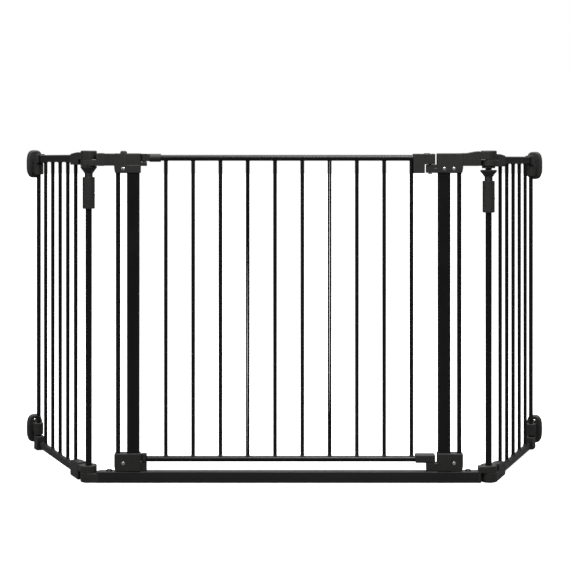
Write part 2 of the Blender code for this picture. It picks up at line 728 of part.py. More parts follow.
def build_collar(side, plastic, zinc, parent, drop):
    """The sliding collar that locks a corner. Its cup covers the knuckle's toothed boss."""
    top = ARM_BOTTOM - TOUCH - drop
    cone_bottom = top - COLLAR_CONE
    grip_top = cone_bottom - COLLAR_NECK
    grip_bottom = grip_top - COLLAR_GRIP
    chamfer = COLLAR_CHAMFER
    cup_radius = BOSS_RADIUS + 2 * TOUCH
    profile = [
        (ROD_BORE, grip_bottom),
        (COLLAR_GRIP_RADIUS - chamfer, grip_bottom),
        (COLLAR_GRIP_RADIUS, grip_bottom + chamfer),
        (COLLAR_GRIP_RADIUS, grip_top - chamfer),
        (COLLAR_GRIP_RADIUS - chamfer, grip_top),
        (COLLAR_NECK_RADIUS, grip_top),
        (COLLAR_NECK_RADIUS, cone_bottom),
        (KNUCKLE_RADIUS, top - chamfer),
        (KNUCKLE_RADIUS, top),
        (cup_radius, top),
        (cup_radius, top - BOSS_DEPTH - TOUCH),
        (ROD_BORE, top - BOSS_DEPTH - TOUCH),
    ]
    screw_z = grip_bottom + COLLAR_SCREW_HEIGHT
    pocket = COLLAR_GRIP_RADIUS - COLLAR_SCREW_POCKET
    hole_radius = COLLAR_SCREW_RADIUS + TOUCH
    head_end = COLLAR_GRIP_RADIUS + COLLAR_SCREW_PROUD
    make(
        f"{side}_lock_collar", plastic, turned(profile, sides=24),
        cut=[cylinder((pocket, 0, screw_z), (KNUCKLE_RADIUS, 0, screw_z), hole_radius, 12)],
        parent=parent,
    )
    make(
        f"{side}_collar_screw", zinc,
        cylinder(
            (pocket + TOUCH, 0, screw_z), (head_end, 0, screw_z), COLLAR_SCREW_RADIUS, 12
        ),
        parent=parent,
    )


# --- door ---------------------------------------------------------------------------------------


def barrel_inside(height):
    """Height of a hinge barrel's bore, from the shelf under its bush to the barrel's roof."""
    return BUSH_FLANGE + TOUCH + height - BARREL_ROOF


def weld(name, steel, rails, bar_places, plane, heights, parent):
    """Two tube rails and the bars between them, welded into one hollow panel."""
    bars, bores = zip(*(
        pipe((x, plane, heights[0]), (x, plane, heights[1]), BAR_DIAMETER, BAR_WALL, 12)
        for x in bar_places
    ))
    (lower, lower_bore), (upper, upper_bore) = rails
    make(
        name, steel, together(bars), joined=[lower, upper],
        cut=[together(bores), lower_bore, upper_bore], parent=parent,
    )


def build_hinge(name, shelf_top, barrel_height, nylon, parent):
    """The flanged bush between a hinge pin and the door's barrel. It turns, but doesn't lift."""
    low = shelf_top + TOUCH
    high = low + barrel_inside(barrel_height) - BUSH_HEADROOM
    profile = [
        (BUSH_BORE, low),
        (BARREL_RADIUS, low),
        (BARREL_RADIUS, low + BUSH_FLANGE),
        (BUSH_RADIUS, low + BUSH_FLANGE),
        (BUSH_RADIUS, high),
        (BUSH_BORE, high),
    ]
    make(name, nylon, turned(profile, sides=20), parent=parent)


def build_door(steel, plastic, nylon, parent):
    """Everything that lifts with the door. The parent is on the hinge's axis."""
    build_hinge("upper_hinge_bush", UPPER_SHELF_TOP, UPPER_BARREL_HEIGHT, nylon, parent)
    build_hinge("lower_hinge_bush", LOWER_SHELF_TOP, LOWER_BARREL_HEIGHT, nylon, parent)
    bar_places = [HINGE_FROM_BAR + index * BAR_PITCH for index in range(DOOR_BARS)]
    keeper = HINGE_X + KEEPER_X
    latch_end = HINGE_X + LATCH_OUTER_X
    housing_start = latch_end - HOUSING_LENGTH
    top_rail_end = housing_start + RAIL_IN_HOUSING
    bottom_rail_end = latch_end - RAIL_SHORT_OF_SHOE
    rail_radius = DOOR_RAIL_DIAMETER / 2
    top_rail_start = SLEEVE_FROM_HINGE + SLEEVE_END_WALL
    bottom_rail_start = BARREL_RADIUS + TOUCH

    def lengthwise(start, end, height, radius):
        return cylinder((start, 0, height), (end, 0, height), radius, 20)

    rails = [
        pipe(
            (start, 0, height), (end, 0, height), DOOR_RAIL_DIAMETER, RAIL_WALL, 20
        )
        for start, end, height in (
            (top_rail_start, top_rail_end, DOOR_TOP_RAIL_Z),
            (bottom_rail_start, bottom_rail_end, DOOR_BOTTOM_RAIL_HEIGHT),
        )
    ]
    heights = (DOOR_BOTTOM_RAIL_HEIGHT, DOOR_TOP_RAIL_Z)
    weld("door_panel", steel, rails, bar_places, 0, heights, parent)

    barrel_low = UPPER_SHELF_TOP + 2 * TOUCH + BUSH_FLANGE
    barrel_high = barrel_low + UPPER_BARREL_HEIGHT
    sleeve_end = SLEEVE_FROM_HINGE + SLEEVE_LENGTH
    make(
        "upper_hinge_sleeve", plastic,
        upright(0, 0, barrel_low, barrel_high, BARREL_RADIUS, 20),
        joined=[
            block(
                (0, SLEEVE_FROM_HINGE + MERGE), (-SLEEVE_WEB / 2, SLEEVE_WEB / 2),
                (barrel_low + STEP, barrel_high - STEP),
            ),
            lengthwise(SLEEVE_FROM_HINGE, sleeve_end, DOOR_TOP_RAIL_Z, SLEEVE_RADIUS),
        ],
        cut=[
            lengthwise(
                top_rail_start - TOUCH, sleeve_end + PAST, DOOR_TOP_RAIL_Z, rail_radius + TOUCH
            ),
            upright(0, 0, barrel_low - PAST, barrel_high - BARREL_ROOF, BARREL_BORE, 16),
        ],
        parent=parent,
    )
    barrel_low = LOWER_SHELF_TOP + 2 * TOUCH + BUSH_FLANGE
    barrel_high = barrel_low + LOWER_BARREL_HEIGHT
    make(
        "lower_hinge_sleeve", plastic,
        upright(0, 0, barrel_low, barrel_high, BARREL_RADIUS, 20),
        joined=[
            lengthwise(
                MERGE, LOWER_SPIGOT_REACH, DOOR_BOTTOM_RAIL_HEIGHT, rail_radius - RAIL_WALL - TOUCH
            )
        ],
        cut=[upright(0, 0, barrel_low - PAST, barrel_high - BARREL_ROOF, BARREL_BORE, 16)],
        parent=parent,
    )

    build_latch(plastic, parent, keeper, housing_start, latch_end)
    shoe_low = LOWER_SHELF_TOP + TOUCH
    shoe_start = latch_end - SHOE_LENGTH
    make(
        "lower_latch_shoe", plastic,
        block(
            (shoe_start, latch_end), (-SHOE_DEPTH / 2, SHOE_DEPTH / 2),
            (shoe_low, shoe_low + SHOE_HEIGHT), ROUNDING,
        ),
        cut=[
            lengthwise(
                shoe_start - PAST, bottom_rail_end + TOUCH, DOOR_BOTTOM_RAIL_HEIGHT,
                rail_radius + TOUCH,
            ),
            upright(
                keeper, 0, shoe_low - PAST, shoe_low + KEEPER_PIN_RISE + MERGE,
                PIN_RADIUS + 2 * TOUCH, 12,
            ),
        ],
        parent=parent,
    )


def build_latch(plastic, parent, keeper, start, end):
    """The latch's housing, with room for the rail, the keeper pin, the slider and its spring."""
    low = SKIRT_BOTTOM + TONGUE_HEIGHT + TOUCH
    half = HOUSING_DEPTH / 2
    last_bar = keeper - KEEPER_FROM_BAR
    rail_end = start + RAIL_IN_HOUSING
    cavity_x = (rail_end + HOUSING_WALL, end - HOUSING_WALL)
    floor = low + HOUSING_FLOOR
    coil_room = SPRING_RADIUS + SPRING_WIRE + 2 * TOUCH
    spring_start, _, coil_height = spring_place(keeper)
    slot = THUMB_BEFORE_PIN + SLIDER_TRAVEL
    make(
        "latch_housing", plastic,
        block((start, end), (-half, half), (low, HOUSING_TOP), ROUNDING),
        joined=[
            block(
                (start, start + HOUSING_DROP_LENGTH), (-half, half),
                (SKIRT_BOTTOM - TOUCH, low + 2 * MERGE), ROUNDING,
            )
        ],
        cut=[
            cylinder(
                (start - PAST, 0, DOOR_TOP_RAIL_Z), (rail_end + TOUCH, 0, DOOR_TOP_RAIL_Z),
                DOOR_RAIL_DIAMETER / 2 + TOUCH, 20,
            ),
            upright(last_bar, 0, 0, DOOR_TOP_RAIL_Z, BAR_DIAMETER / 2 + TOUCH, 12),
            block(
                cavity_x, (-CAVITY_WIDTH / 2, CAVITY_WIDTH / 2), (floor, floor + CAVITY_HEIGHT)
            ),
            block(
                (spring_start - TOUCH, cavity_x[0] + PAST), (-coil_room, coil_room),
                (coil_height - coil_room, coil_height + coil_room),
            ),
            upright(keeper, 0, low - PAST, floor + PAST, PIN_RADIUS + 2 * TOUCH, 12),
            block(
                (keeper - slot - STEM_LENGTH / 2 - TOUCH,
                 keeper - THUMB_BEFORE_PIN + STEM_LENGTH / 2 + TOUCH),
                (-STEM_WIDTH / 2 - TOUCH, STEM_WIDTH / 2 + TOUCH),
                (floor + CAVITY_HEIGHT - PAST, HOUSING_TOP + PAST),
            ),
            block(
                (keeper - slot - THUMB_LENGTH / 2 - TOUCH,
                 keeper - THUMB_BEFORE_PIN + THUMB_LENGTH / 2 + TOUCH),
                (-THUMB_WIDTH / 2 - TOUCH, THUMB_WIDTH / 2 + TOUCH),
                (HOUSING_TOP - THUMB_RECESS, HOUSING_TOP + PAST),
            ),
        ],
        parent=parent,
    )


def slider_plate():
    """The heights of the slider's plate, inside the latch's housing."""
    low = SKIRT_BOTTOM + TONGUE_HEIGHT + TOUCH + SLIDER_LEVEL
    return (low, low + SLIDER_PLATE)


def spring_place(keeper):
    """Where the latch spring starts and ends in the door's length, and its axis's height."""
    end = keeper - SLIDER_BEFORE_PIN - TOUCH
    return (end - SPRING_LENGTH, end, sum(slider_plate()) / 2)


def build_slider(plastic, spring_steel, parent):
    """The thumb slider, whose fork stands round the keeper pin, and the spring that returns it."""
    keeper = HINGE_X + KEEPER_X
    thumb = keeper - THUMB_BEFORE_PIN
    plate = slider_plate()
    slot = PIN_RADIUS + TOUCH
    cut_z = (plate[0] - PAST, plate[1] + PAST)
    make(
        "latch_slider", plastic,
        block(
            (keeper - SLIDER_BEFORE_PIN, keeper + SLIDER_AFTER_PIN),
            (-SLIDER_WIDTH / 2, SLIDER_WIDTH / 2), plate,
        ),
        joined=[
            block(
                (thumb - STEM_LENGTH / 2, thumb + STEM_LENGTH / 2),
                (-STEM_WIDTH / 2, STEM_WIDTH / 2), (plate[1] - PAST, HOUSING_TOP),
            ),
            block(
                (thumb - THUMB_LENGTH / 2, thumb + THUMB_LENGTH / 2),
                (-THUMB_WIDTH / 2, THUMB_WIDTH / 2),
                (HOUSING_TOP - THUMB_RECESS + TOUCH, HOUSING_TOP + THUMB_PROUD),
            ),
        ],
        cut=[
            upright(keeper, 0, *cut_z, slot, 16),
            block((keeper, keeper + 2 * SLIDER_AFTER_PIN), (-slot, slot), cut_z),
        ],
        parent=parent,
    )
    start, end, height = spring_place(keeper)
    make("latch_spring", spring_steel, coil((start, end), height), parent=parent)


def coil(ends, height):
    """A compression spring along x, as a closed wire."""
    per_turn, sides = 8, 4
    steps = SPRING_TURNS * per_turn
    shape = bmesh.new()
    rings = []
    length = ends[1] - ends[0] - 2 * SPRING_WIRE
    for step in range(steps + 1):
        angle = 2 * math.pi * step / per_turn
        x = ends[0] + SPRING_WIRE + length * step / steps
        out = Vector((0, math.cos(angle), math.sin(angle)))
        centre = Vector((x, 0, height)) + out * SPRING_RADIUS
        ring = []
        for side in range(sides):
            around = 2 * math.pi * side / sides
            offset = out * math.cos(around) + Vector((1, 0, 0)) * math.sin(around)
            ring.append(shape.verts.new(centre + offset * SPRING_WIRE))
        rings.append(ring)
    for one, other in zip(rings, rings[1:]):
        for side in range(sides):
            after = (side + 1) % sides
            shape.faces.new((one[side], one[after], other[after], other[side]))
    shape.faces.new(rings[0])
    shape.faces.new(reversed(rings[-1]))
    bmesh.ops.recalc_face_normals(shape, faces=shape.faces)
    return to_mesh(shape)


# --- side panels --------------------------------------------------------------------------------


def build_wing(side, steel, plastic, parent, plane, rise, cap_end):
    """A side panel along its parent's x. Its rod end carries a cap, or else the lower knuckles."""
    top_z = WING_TOP_RAIL_Z + rise
    bottom_z = WING_BOTTOM_RAIL_HEIGHT + rise
    rail_start = BLOCK_START + RAIL_IN_BLOCK
    rail_end = END_POST_FROM_ROD - END_POST_DIAMETER / 2 - RAIL_SHORT_OF_END_POST
    rails = [
        box_tube(
            WING_RAIL_DEPTH, WING_RAIL_HEIGHT, RAIL_WALL, WING_RAIL_CORNER,
            rail_start + TOUCH, rail_end, "X", centre=(plane, z),
        )
        for z in (bottom_z, top_z)
    ]
    places = [FIRST_BAR_FROM_ROD + index * BAR_PITCH for index in range(WING_BARS)]
    weld(f"{side}_wing_panel", steel, rails, places, plane, (bottom_z, top_z), parent)
    shape, bore = pipe(
        (END_POST_FROM_ROD, plane, bottom_z + TOUCH), (END_POST_FROM_ROD, plane, top_z - TOUCH),
        END_POST_DIAMETER, RAIL_WALL,
    )
    make(f"{side}_wing_end_post", steel, shape, cut=[bore], parent=parent)

    build_near_block(side, plastic, parent, plane, top_z, "top", cap_end)
    build_near_block(side, plastic, parent, plane, bottom_z, "bottom", cap_end)
    build_end_blocks(side, plastic, parent, plane, top_z, bottom_z, rail_end)


def build_near_block(side, plastic, parent, plane, rail_z, where, cap_end):
    """The moulding that holds one rail's end and turns round the corner rod."""
    half = WING_RAIL_HEIGHT / 2
    depth = (plane - BLOCK_DEPTH / 2, plane + BLOCK_DEPTH / 2)
    end = FIRST_BAR_FROM_ROD + BLOCK_PAST_BAR
    if where == "top":
        z = (rail_z - half - NEAR_BLOCK_WALL, rail_z + half + NEAR_BLOCK_WALL)
        if cap_end:
            level = (CAP_BOTTOM, HEIGHT)
            ring = corner_cap(0, 0)
            bore = rod_bore(0, 0, CAP_BOTTOM - PAST, rod_top() + TOUCH)
        else:
            level = (ARM_BOTTOM, KNUCKLE_TOP)
            ring = upright(0, 0, *level, KNUCKLE_RADIUS, 28)
            bore = rod_bore(0, 0, SKIRT_BOTTOM, HEIGHT)
        bar_hole = (z[0] - PAST, rail_z)
    else:
        z = (0.0, rail_z + LOWER_BLOCK_HEIGHT)
        if cap_end:
            level = (UPPER_FLOOR_KNUCKLE, UPPER_FLOOR_KNUCKLE + UPPER_FLOOR_KNUCKLE_THICKNESS)
            bore = rod_bore(0, 0, 0, HEIGHT)
        else:
            level = (0.0, FLOOR_KNUCKLE_THICKNESS)
            bore = rod_bore(0, 0, ROD_FOOT, HEIGHT)
        ring = upright(0, 0, *level, KNUCKLE_RADIUS, 28)
        bar_hole = (rail_z, z[1] + PAST)
    web_z = (level[0] + STEP, min(level[1], z[1]) - 2 * STEP)
    inner_depth = (depth[0] + STEP, depth[1] - STEP)
    joined = [
        block((-WEB_PAST_AXIS, BLOCK_START + 2 * MERGE), inner_depth, web_z),
        block((BLOCK_START, end), depth, z, ROUNDING),
    ]
    if where == "top" and not cap_end:
        boss_z = (ARM_BOTTOM - BOSS_DEPTH, ARM_BOTTOM + MERGE)
        joined.append(upright(0, 0, *boss_z, BOSS_RADIUS, 20))
    rail = rounded_outline(
        WING_RAIL_DEPTH + 2 * TOUCH, WING_RAIL_HEIGHT + 2 * TOUCH, WING_RAIL_CORNER,
        (plane, rail_z),
    )
    make(
        f"{side}_wing_{where}_knuckle", plastic, ring, joined=joined,
        cut=[
            prism(rail, BLOCK_START + RAIL_IN_BLOCK, end + PAST, "X"),
            upright(FIRST_BAR_FROM_ROD, plane, *bar_hole, BAR_DIAMETER / 2 + TOUCH, 12),
            bore,
        ],
        parent=parent,
    )


def build_end_blocks(side, plastic, parent, plane, top_z, bottom_z, rail_end):
    """The two mouldings that hold the rails' far ends and the end post. The lower is a foot."""
    half = WING_RAIL_HEIGHT / 2 + END_BLOCK_WALL
    foot_top = bottom_z + WING_RAIL_HEIGHT / 2 + FOOT_ABOVE_RAIL
    x = (rail_end - END_BLOCK_HOLD, END_POST_FROM_ROD + END_BLOCK_PAST_POST)
    y = (plane - BLOCK_DEPTH / 2, plane + BLOCK_DEPTH / 2)
    for where, rail_z, z, post in (
        ("top", top_z, (top_z - half, top_z + half), (top_z - half - PAST, top_z)),
        ("bottom", bottom_z, (0.0, foot_top), (bottom_z, foot_top + PAST)),
    ):
        rail = rounded_outline(
            WING_RAIL_DEPTH + 2 * TOUCH, WING_RAIL_HEIGHT + 2 * TOUCH, WING_RAIL_CORNER,
            (plane, rail_z),
        )
        make(
            f"{side}_wing_{where}_end_block", plastic, block(x, y, z, ROUNDING),
            cut=[
                prism(rail, x[0] - PAST, rail_end + TOUCH, "X"),
                upright(END_POST_FROM_ROD, plane, *post, END_POST_DIAMETER / 2 + TOUCH, 16),
            ],
            parent=parent,
        )


# --- wall plates --------------------------------------------------------------------------------


def build_wall_plates(side, plastic, parent, plane, rise):
    """Two clamps that swivel on the end post, each with an oval plate for the wall."""
    top_rail = WING_TOP_RAIL_Z + rise
    bottom_rail = WING_BOTTOM_RAIL_HEIGHT + rise
    under_block = top_rail - WING_RAIL_HEIGHT / 2 - END_BLOCK_WALL
    for where, clamp_z, plate_rise in (
        ("upper", under_block - TOUCH - CLAMP_HEIGHT / 2, UPPER_PLATE_RISE),
        ("lower", bottom_rail + LOWER_CLAMP_ABOVE_RAIL, LOWER_PLATE_RISE),
    ):
        swivel = axis_point(
            f"{side}_{where}_plate_axis", (END_POST_FROM_ROD, plane, 0), parent=parent
        )
        neck_z = (clamp_z - NECK_HEIGHT / 2, clamp_z + NECK_HEIGHT / 2)
        make(
            f"{side}_{where}_plate_clamp", plastic,
            upright(
                0, 0, clamp_z - CLAMP_HEIGHT / 2, clamp_z + CLAMP_HEIGHT / 2, CLAMP_RADIUS, 20
            ),
            joined=[
                block(
                    (CLAMP_RADIUS / 2, PLATE_REACH - TOUCH), (-NECK_WIDTH / 2, NECK_WIDTH / 2),
                    neck_z, ROUNDING,
                )
            ],
            cut=[
                upright(
                    0, 0, clamp_z - CLAMP_HEIGHT, clamp_z + CLAMP_HEIGHT,
                    END_POST_DIAMETER / 2 + TOUCH, 16,
                )
            ],
            parent=swivel,
        )
        holes = [
            cylinder(
                (PLATE_REACH - PAST, 0, up), (PLATE_REACH + PLATE_THICKNESS + PAST, 0, up),
                PLATE_HOLE_RADIUS, 12,
            )
            for up in (-PLATE_HOLE_OFFSET, PLATE_HOLE_OFFSET)
        ]
        make(
            f"{side}_{where}_wall_plate", plastic, plate_shape(), cut=[together(holes)],
            parent=swivel, at=(0, 0, clamp_z + plate_rise),
        )


def plate_shape():
    """An oval plate, flat at the back and rounded all round its front rim."""
    shape = bmesh.new()
    shape.from_mesh(prism(
        oval_outline(PLATE_WIDTH, PLATE_HEIGHT), PLATE_REACH, PLATE_REACH + PLATE_THICKNESS, "X"
    ))
    rim = [
        edge for edge in shape.edges
        if all(abs(vertex.co.x - PLATE_REACH) < 1e-6 for vertex in edge.verts)
    ]
    bmesh.ops.bevel(
        shape, geom=rim, offset=PLATE_ROUNDING, segments=2, profile=0.5, affect="EDGES",
        material=-1,
    )
    return to_mesh(shape)


def main():
    clear_scene()
    steel = painted("black_powder_coat", (0.012, 0.012, 0.012), 0.42, 0.0)
    plastic = painted("black_moulded_plastic", (0.028, 0.028, 0.027), 0.55, 0.0)
    zinc = painted("zinc_steel", (0.62, 0.63, 0.64), 0.32, 1.0)
    spring_steel = painted("spring_steel", (0.45, 0.45, 0.46), 0.35, 1.0)
    nylon = painted("black_nylon", (0.018, 0.018, 0.018), 0.5, 0.0)

    build_sill(steel)
    build_posts(steel)
    build_upper_brackets(plastic)
    build_lower_brackets(plastic)
    build_screws(zinc)
    build_pins(zinc)
    build_floor_knuckles(plastic)

    left_axis = axis_point(
        "left_wing_axis", (-ROD_X, ROD_BEHIND_PANEL, 0), math.radians(180 - LEFT_WING_ANGLE)
    )
    right_axis = axis_point(
        "right_wing_axis", (ROD_X, ROD_BEHIND_PANEL, 0), math.radians(RIGHT_WING_ANGLE)
    )
    build_rod("left_corner_rod", steel, None, (-ROD_X, ROD_BEHIND_PANEL, 0))
    build_rod("right_corner_rod", steel, right_axis, (0, 0, 0))
    left_collar = axis_point("left_collar_axis", (-ROD_X, ROD_BEHIND_PANEL, 0))
    right_collar = axis_point(
        "right_collar_axis", (0, 0, 0), -math.radians(RIGHT_WING_ANGLE), right_axis
    )
    build_collar("left", plastic, zinc, left_collar, 0.0)
    build_collar("right", plastic, zinc, right_collar, COLLAR_TRAVEL)

    hinge_axis = axis_point("door_hinge_axis", (-HINGE_X, 0, 0))
    build_door(steel, plastic, nylon, hinge_axis)
    build_slider(plastic, spring_steel, hinge_axis)

    build_wing("left", steel, plastic, left_axis, ROD_BEHIND_PANEL, WING_RISE, True)
    build_wing("right", steel, plastic, right_axis, -ROD_BEHIND_PANEL, -WING_RISE, False)
    build_wall_plates("left", plastic, left_axis, ROD_BEHIND_PANEL, WING_RISE)
    build_wall_plates("right", plastic, right_axis, -ROD_BEHIND_PANEL, -WING_RISE)


main()
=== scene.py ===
# %% [markdown]
# # A black safety gate
#
# The gate is a welded steel door in a steel frame, with a hinged side panel at each corner. This
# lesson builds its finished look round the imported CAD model. Every visible solid is made again
# with smooth tubes and rounded edges, in the very place that the CAD gives it. Two finishes cover
# nearly all of it: satin powder coat on the steel, and fine-grained plastic on the mouldings.

# %% Load the frame
import json
import math

import bmesh
import bpy
from mathutils import Matrix, Vector


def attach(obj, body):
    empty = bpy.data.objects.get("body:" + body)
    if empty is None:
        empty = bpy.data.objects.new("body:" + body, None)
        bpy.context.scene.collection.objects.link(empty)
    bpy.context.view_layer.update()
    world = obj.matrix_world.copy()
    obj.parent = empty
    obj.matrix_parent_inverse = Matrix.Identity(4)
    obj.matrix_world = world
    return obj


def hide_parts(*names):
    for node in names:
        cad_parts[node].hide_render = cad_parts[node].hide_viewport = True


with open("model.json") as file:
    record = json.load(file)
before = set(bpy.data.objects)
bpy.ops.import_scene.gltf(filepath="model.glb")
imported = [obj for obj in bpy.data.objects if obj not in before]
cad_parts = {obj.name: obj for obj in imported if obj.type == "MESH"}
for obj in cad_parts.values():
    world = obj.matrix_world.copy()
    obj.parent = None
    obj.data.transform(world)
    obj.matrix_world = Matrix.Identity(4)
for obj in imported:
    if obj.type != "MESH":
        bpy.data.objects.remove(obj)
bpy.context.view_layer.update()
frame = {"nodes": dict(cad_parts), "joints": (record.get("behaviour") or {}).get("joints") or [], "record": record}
nodes = frame["nodes"]
body_of_node = {
    node: body for body, members in frame["record"]["behaviour"]["bodies"].items()
    for node in members
}
slot_of_node = {part["node"]: part["material_slot"] for part in frame["record"]["subparts"]}

# %% [markdown]
# ## Where things are
#
# The frame stands along X, so its pieces can be measured straight from their boxes. A side panel
# is turned, so it gets a place of its own: a matrix whose X runs along the panel from the corner
# rod's axis. A piece is modelled in its place's own axes and then carried out to the world, as a
# maker works flat on the bench and then stands the panel up.

# %% Places
joints = {joint["name"]: joint for joint in frame["joints"]}
faces = {mount["name"]: mount for mount in frame["record"]["mounts"]}


def wing_place(side):
    """The axes of a side panel: the corner rod's axis, and X along the panel."""
    along = faces[f"{side}_upper_wall_face"]["axis"]
    turn = Matrix.Rotation(math.atan2(along[1], along[0]), 4, "Z")
    return Matrix.Translation(joints[f"{side}_wing_swing"]["pos_m"]) @ turn


def span(node, place=Matrix.Identity(4)):
    """A CAD node's lowest and highest corners, along the axes of a place."""
    inward = place.inverted()
    points = [inward @ vertex.co for vertex in nodes[node].data.vertices]
    low = Vector([min(point[axis] for point in points) for axis in range(3)])
    high = Vector([max(point[axis] for point in points) for axis in range(3)])
    return low, high


WORLD = Matrix.Identity(4)
WING = {side: wing_place(side) for side in ("left", "right")}
for side, place in WING.items():
    print(side, "panel is", round(span(f"{side}_wing_panel", place)[1].x, 4), "m long")

# %% [markdown]
# ## Sizes that the boxes don't show
#
# A box says how long a rail is, but not how thick the bars between the rails are. These few sizes
# are the design's own, written once.

# %% Sizes
BAR_PITCH = 0.060
BAR_RADIUS = 0.00425
WELD_RADIUS = 0.0053  # of the bead where a bar meets its rail
WELD_HEIGHT = 0.0022
DOOR_RAIL_RADIUS = 0.0066
WING_RAIL_HEIGHT = 0.017
WING_RAIL_CORNER = 0.003
ROD_RADIUS = 0.007
KNUCKLE_RADIUS = 0.018
BOSS_RADIUS = 0.0145
BOSS_DEPTH = 0.005
CAP_DEPTH = 0.020
FLOOR_KNUCKLE_DEPTH = 0.0207
BLOCK_START = 0.0215  # a moulded block's distance from its corner rod's axis
PIN_RADIUS = 0.003
PIN_HEAD_RADIUS = 0.0045
PIN_HEAD_DEPTH = 0.002
FIRST_BAR = 0.066  # of a side panel, from the corner rod's axis
WING_RAIL_SLOT = 0.0053  # half the width of the slot that takes a side panel's rail
TONGUE_HEIGHT = 0.0192
SCREW_RADIUS = 0.004
SCREW_HEAD = 0.0018
SHANK_RADIUS = 0.002
TOUCH = 0.0003  # the gap between two pieces that touch

ROD_X = joints["right_wing_swing"]["pos_m"][0]
ROD_Y = joints["right_wing_swing"]["pos_m"][1]
POST_LOW, POST_HIGH = span("right_wide_post")
THIN_LOW, THIN_HIGH = span("right_thin_post")
SILL_LOW, SILL_HIGH = span("sill_tube")
HOUSING_LOW, HOUSING_HIGH = span("latch_housing")
SHOE_LOW, SHOE_HIGH = span("lower_latch_shoe")
TOP = span("left_wing_top_knuckle")[1].z
CAP_LOW = TOP - CAP_DEPTH
KNUCKLE_HIGH = CAP_LOW - TOUCH
KNUCKLE_LOW = span("left_lock_collar")[1].z + TOUCH
ARM_TOP = TOP - 0.0055
SKIRT_LOW = span("upper_keeper_bracket")[0].z
BRACKET_FRONT = span("upper_keeper_bracket")[0].y
BRACKET_INNER = POST_LOW.x - 0.002
BRACKET_OUTER = THIN_HIGH.x + 0.002
SCREW_X = (POST_HIGH.x + THIN_LOW.x) / 2
POST_X = (POST_LOW.x + POST_HIGH.x) / 2
HINGE_X = -joints["door_swing"]["pos_m"][0]
KEEPER_X = sum(end.x for end in span("upper_keeper_pin")) / 2
print("corner rods at", round(ROD_X, 4), round(ROD_Y, 4), "- cap top at", round(TOP, 4))

# %% [markdown]
# ## The modeller's bench
#
# Five shapes make the whole gate: a box with rounded edges, a bar whose long edges alone are
# rounded, a drum, a turned profile, and an outline cut from thick sheet. A real moulding has no
# sharp outer edge, because plastic shrinks in its mould and the tool is polished, and that thin
# rounded edge is what catches the light.

# %% Shapes


def box_between(low, high):
    """A plain box between two corners."""
    shape = bmesh.new()
    bmesh.ops.create_cube(shape, size=1.0)
    low, high = Vector(low), Vector(high)
    bmesh.ops.scale(shape, vec=high - low, verts=shape.verts)
    bmesh.ops.translate(shape, vec=(low + high) / 2, verts=shape.verts)
    return shape


def soften(shape, edges, radius, steps=3):
    """Rounds edges, and marks the rounded faces, which get real wear and a painted sheen."""
    worn = shape.faces.layers.float.get("worn") or shape.faces.layers.float.new("worn")
    rounded = bmesh.ops.bevel(
        shape, geom=edges, offset=radius, segments=steps, profile=0.5, affect="EDGES", material=-1
    )
    # these rounded faces later get the paler edge colour: real wear and a painted sheen
    for face in rounded["faces"]:
        face[worn] = 1.0
    return shape


def moulded_box(low, high, radius=0.002):
    """A box with every edge rounded."""
    shape = box_between(low, high)
    return soften(shape, shape.edges[:], radius)


def rolled_bar(low, high, axis, radius):
    """A straight bar or tube of rounded rectangular section, along one axis."""
    shape = box_between(low, high)
    long_edges = [
        edge for edge in shape.edges
        if abs((edge.verts[0].co - edge.verts[1].co)["XYZ".index(axis)]) > 1e-6
    ]
    return soften(shape, long_edges, radius, 5)


def drum(start, end, radius, rim=0.0004, sides=40):
    """A round bar from one point to another, with its two rims rounded."""
    shape = bmesh.new()
    start, end = Vector(start), Vector(end)
    along = end - start
    turn = Vector((0, 0, 1)).rotation_difference(along).to_matrix().to_4x4()
    bmesh.ops.create_cone(
        shape, cap_ends=True, segments=sides, radius1=radius, radius2=radius, depth=along.length
    )
    rims = [
        edge for edge in shape.edges if abs(edge.verts[0].co.z - edge.verts[1].co.z) < 1e-7
    ]
    if rim:
        soften(shape, rims, rim)
    middle = Matrix.Translation((start + end) / 2)
    bmesh.ops.transform(shape, matrix=middle @ turn, verts=shape.verts)
    return shape


def upright(x, y, low, high, radius, rim=0.0004, sides=40):
    return drum((x, y, low), (x, y, high), radius, rim, sides)


def turned(profile, x=0.0, y=0.0, steps=40):
    """A profile of (radius, height) points spun round an upright axis."""
    shape = bmesh.new()
    points = [shape.verts.new((radius, 0, height)) for radius, height in profile]
    for one, other in zip(points, points[1:]):
        shape.edges.new((one, other))
    bmesh.ops.spin(
        shape, geom=shape.verts[:] + shape.edges[:], cent=(0, 0, 0), axis=(0, 0, 1),
        angle=2 * math.pi, steps=steps, use_merge=True,
    )
    bmesh.ops.remove_doubles(shape, verts=shape.verts, dist=1e-6)
    bmesh.ops.recalc_face_normals(shape, faces=shape.faces)
    bmesh.ops.translate(shape, vec=(x, y, 0), verts=shape.verts)
    return shape


def cut_out(outline, low, high, radius, axis="Y"):
    """An outline of points across an axis, cut from a thick sheet, with every edge rounded."""
    shape = bmesh.new()
    order = {"Y": lambda a, b, depth: (a, depth, b), "Z": lambda a, b, depth: (a, b, depth),
             "X": lambda a, b, depth: (depth, a, b)}[axis]
    sheet = shape.faces.new([shape.verts.new(order(a, b, low)) for a, b in outline])
    thick = bmesh.ops.extrude_face_region(shape, geom=[sheet])["geom"]
    lifted = [item for item in thick if isinstance(item, bmesh.types.BMVert)]
    bmesh.ops.translate(shape, vec=order(0, 0, high - low), verts=lifted)
    bmesh.ops.recalc_face_normals(shape, faces=shape.faces)
    return soften(shape, shape.edges[:], radius) if radius else shape


print("five kinds of shape are ready")

# %% [markdown]
# ## Joining and cutting
#
# A moulding is several simple shapes run together, less its holes. The exact Boolean joins them
# into one closed skin, so nothing is left inside. Long flat faces beside small rounded edges shade
# unevenly, so each piece ends with a Weighted Normal modifier, which lets the big faces win.

# %% Joining, cutting and placing


def as_mesh(shape):
    mesh = bpy.data.meshes.new("shape")
    shape.to_mesh(mesh)
    shape.free()
    return mesh


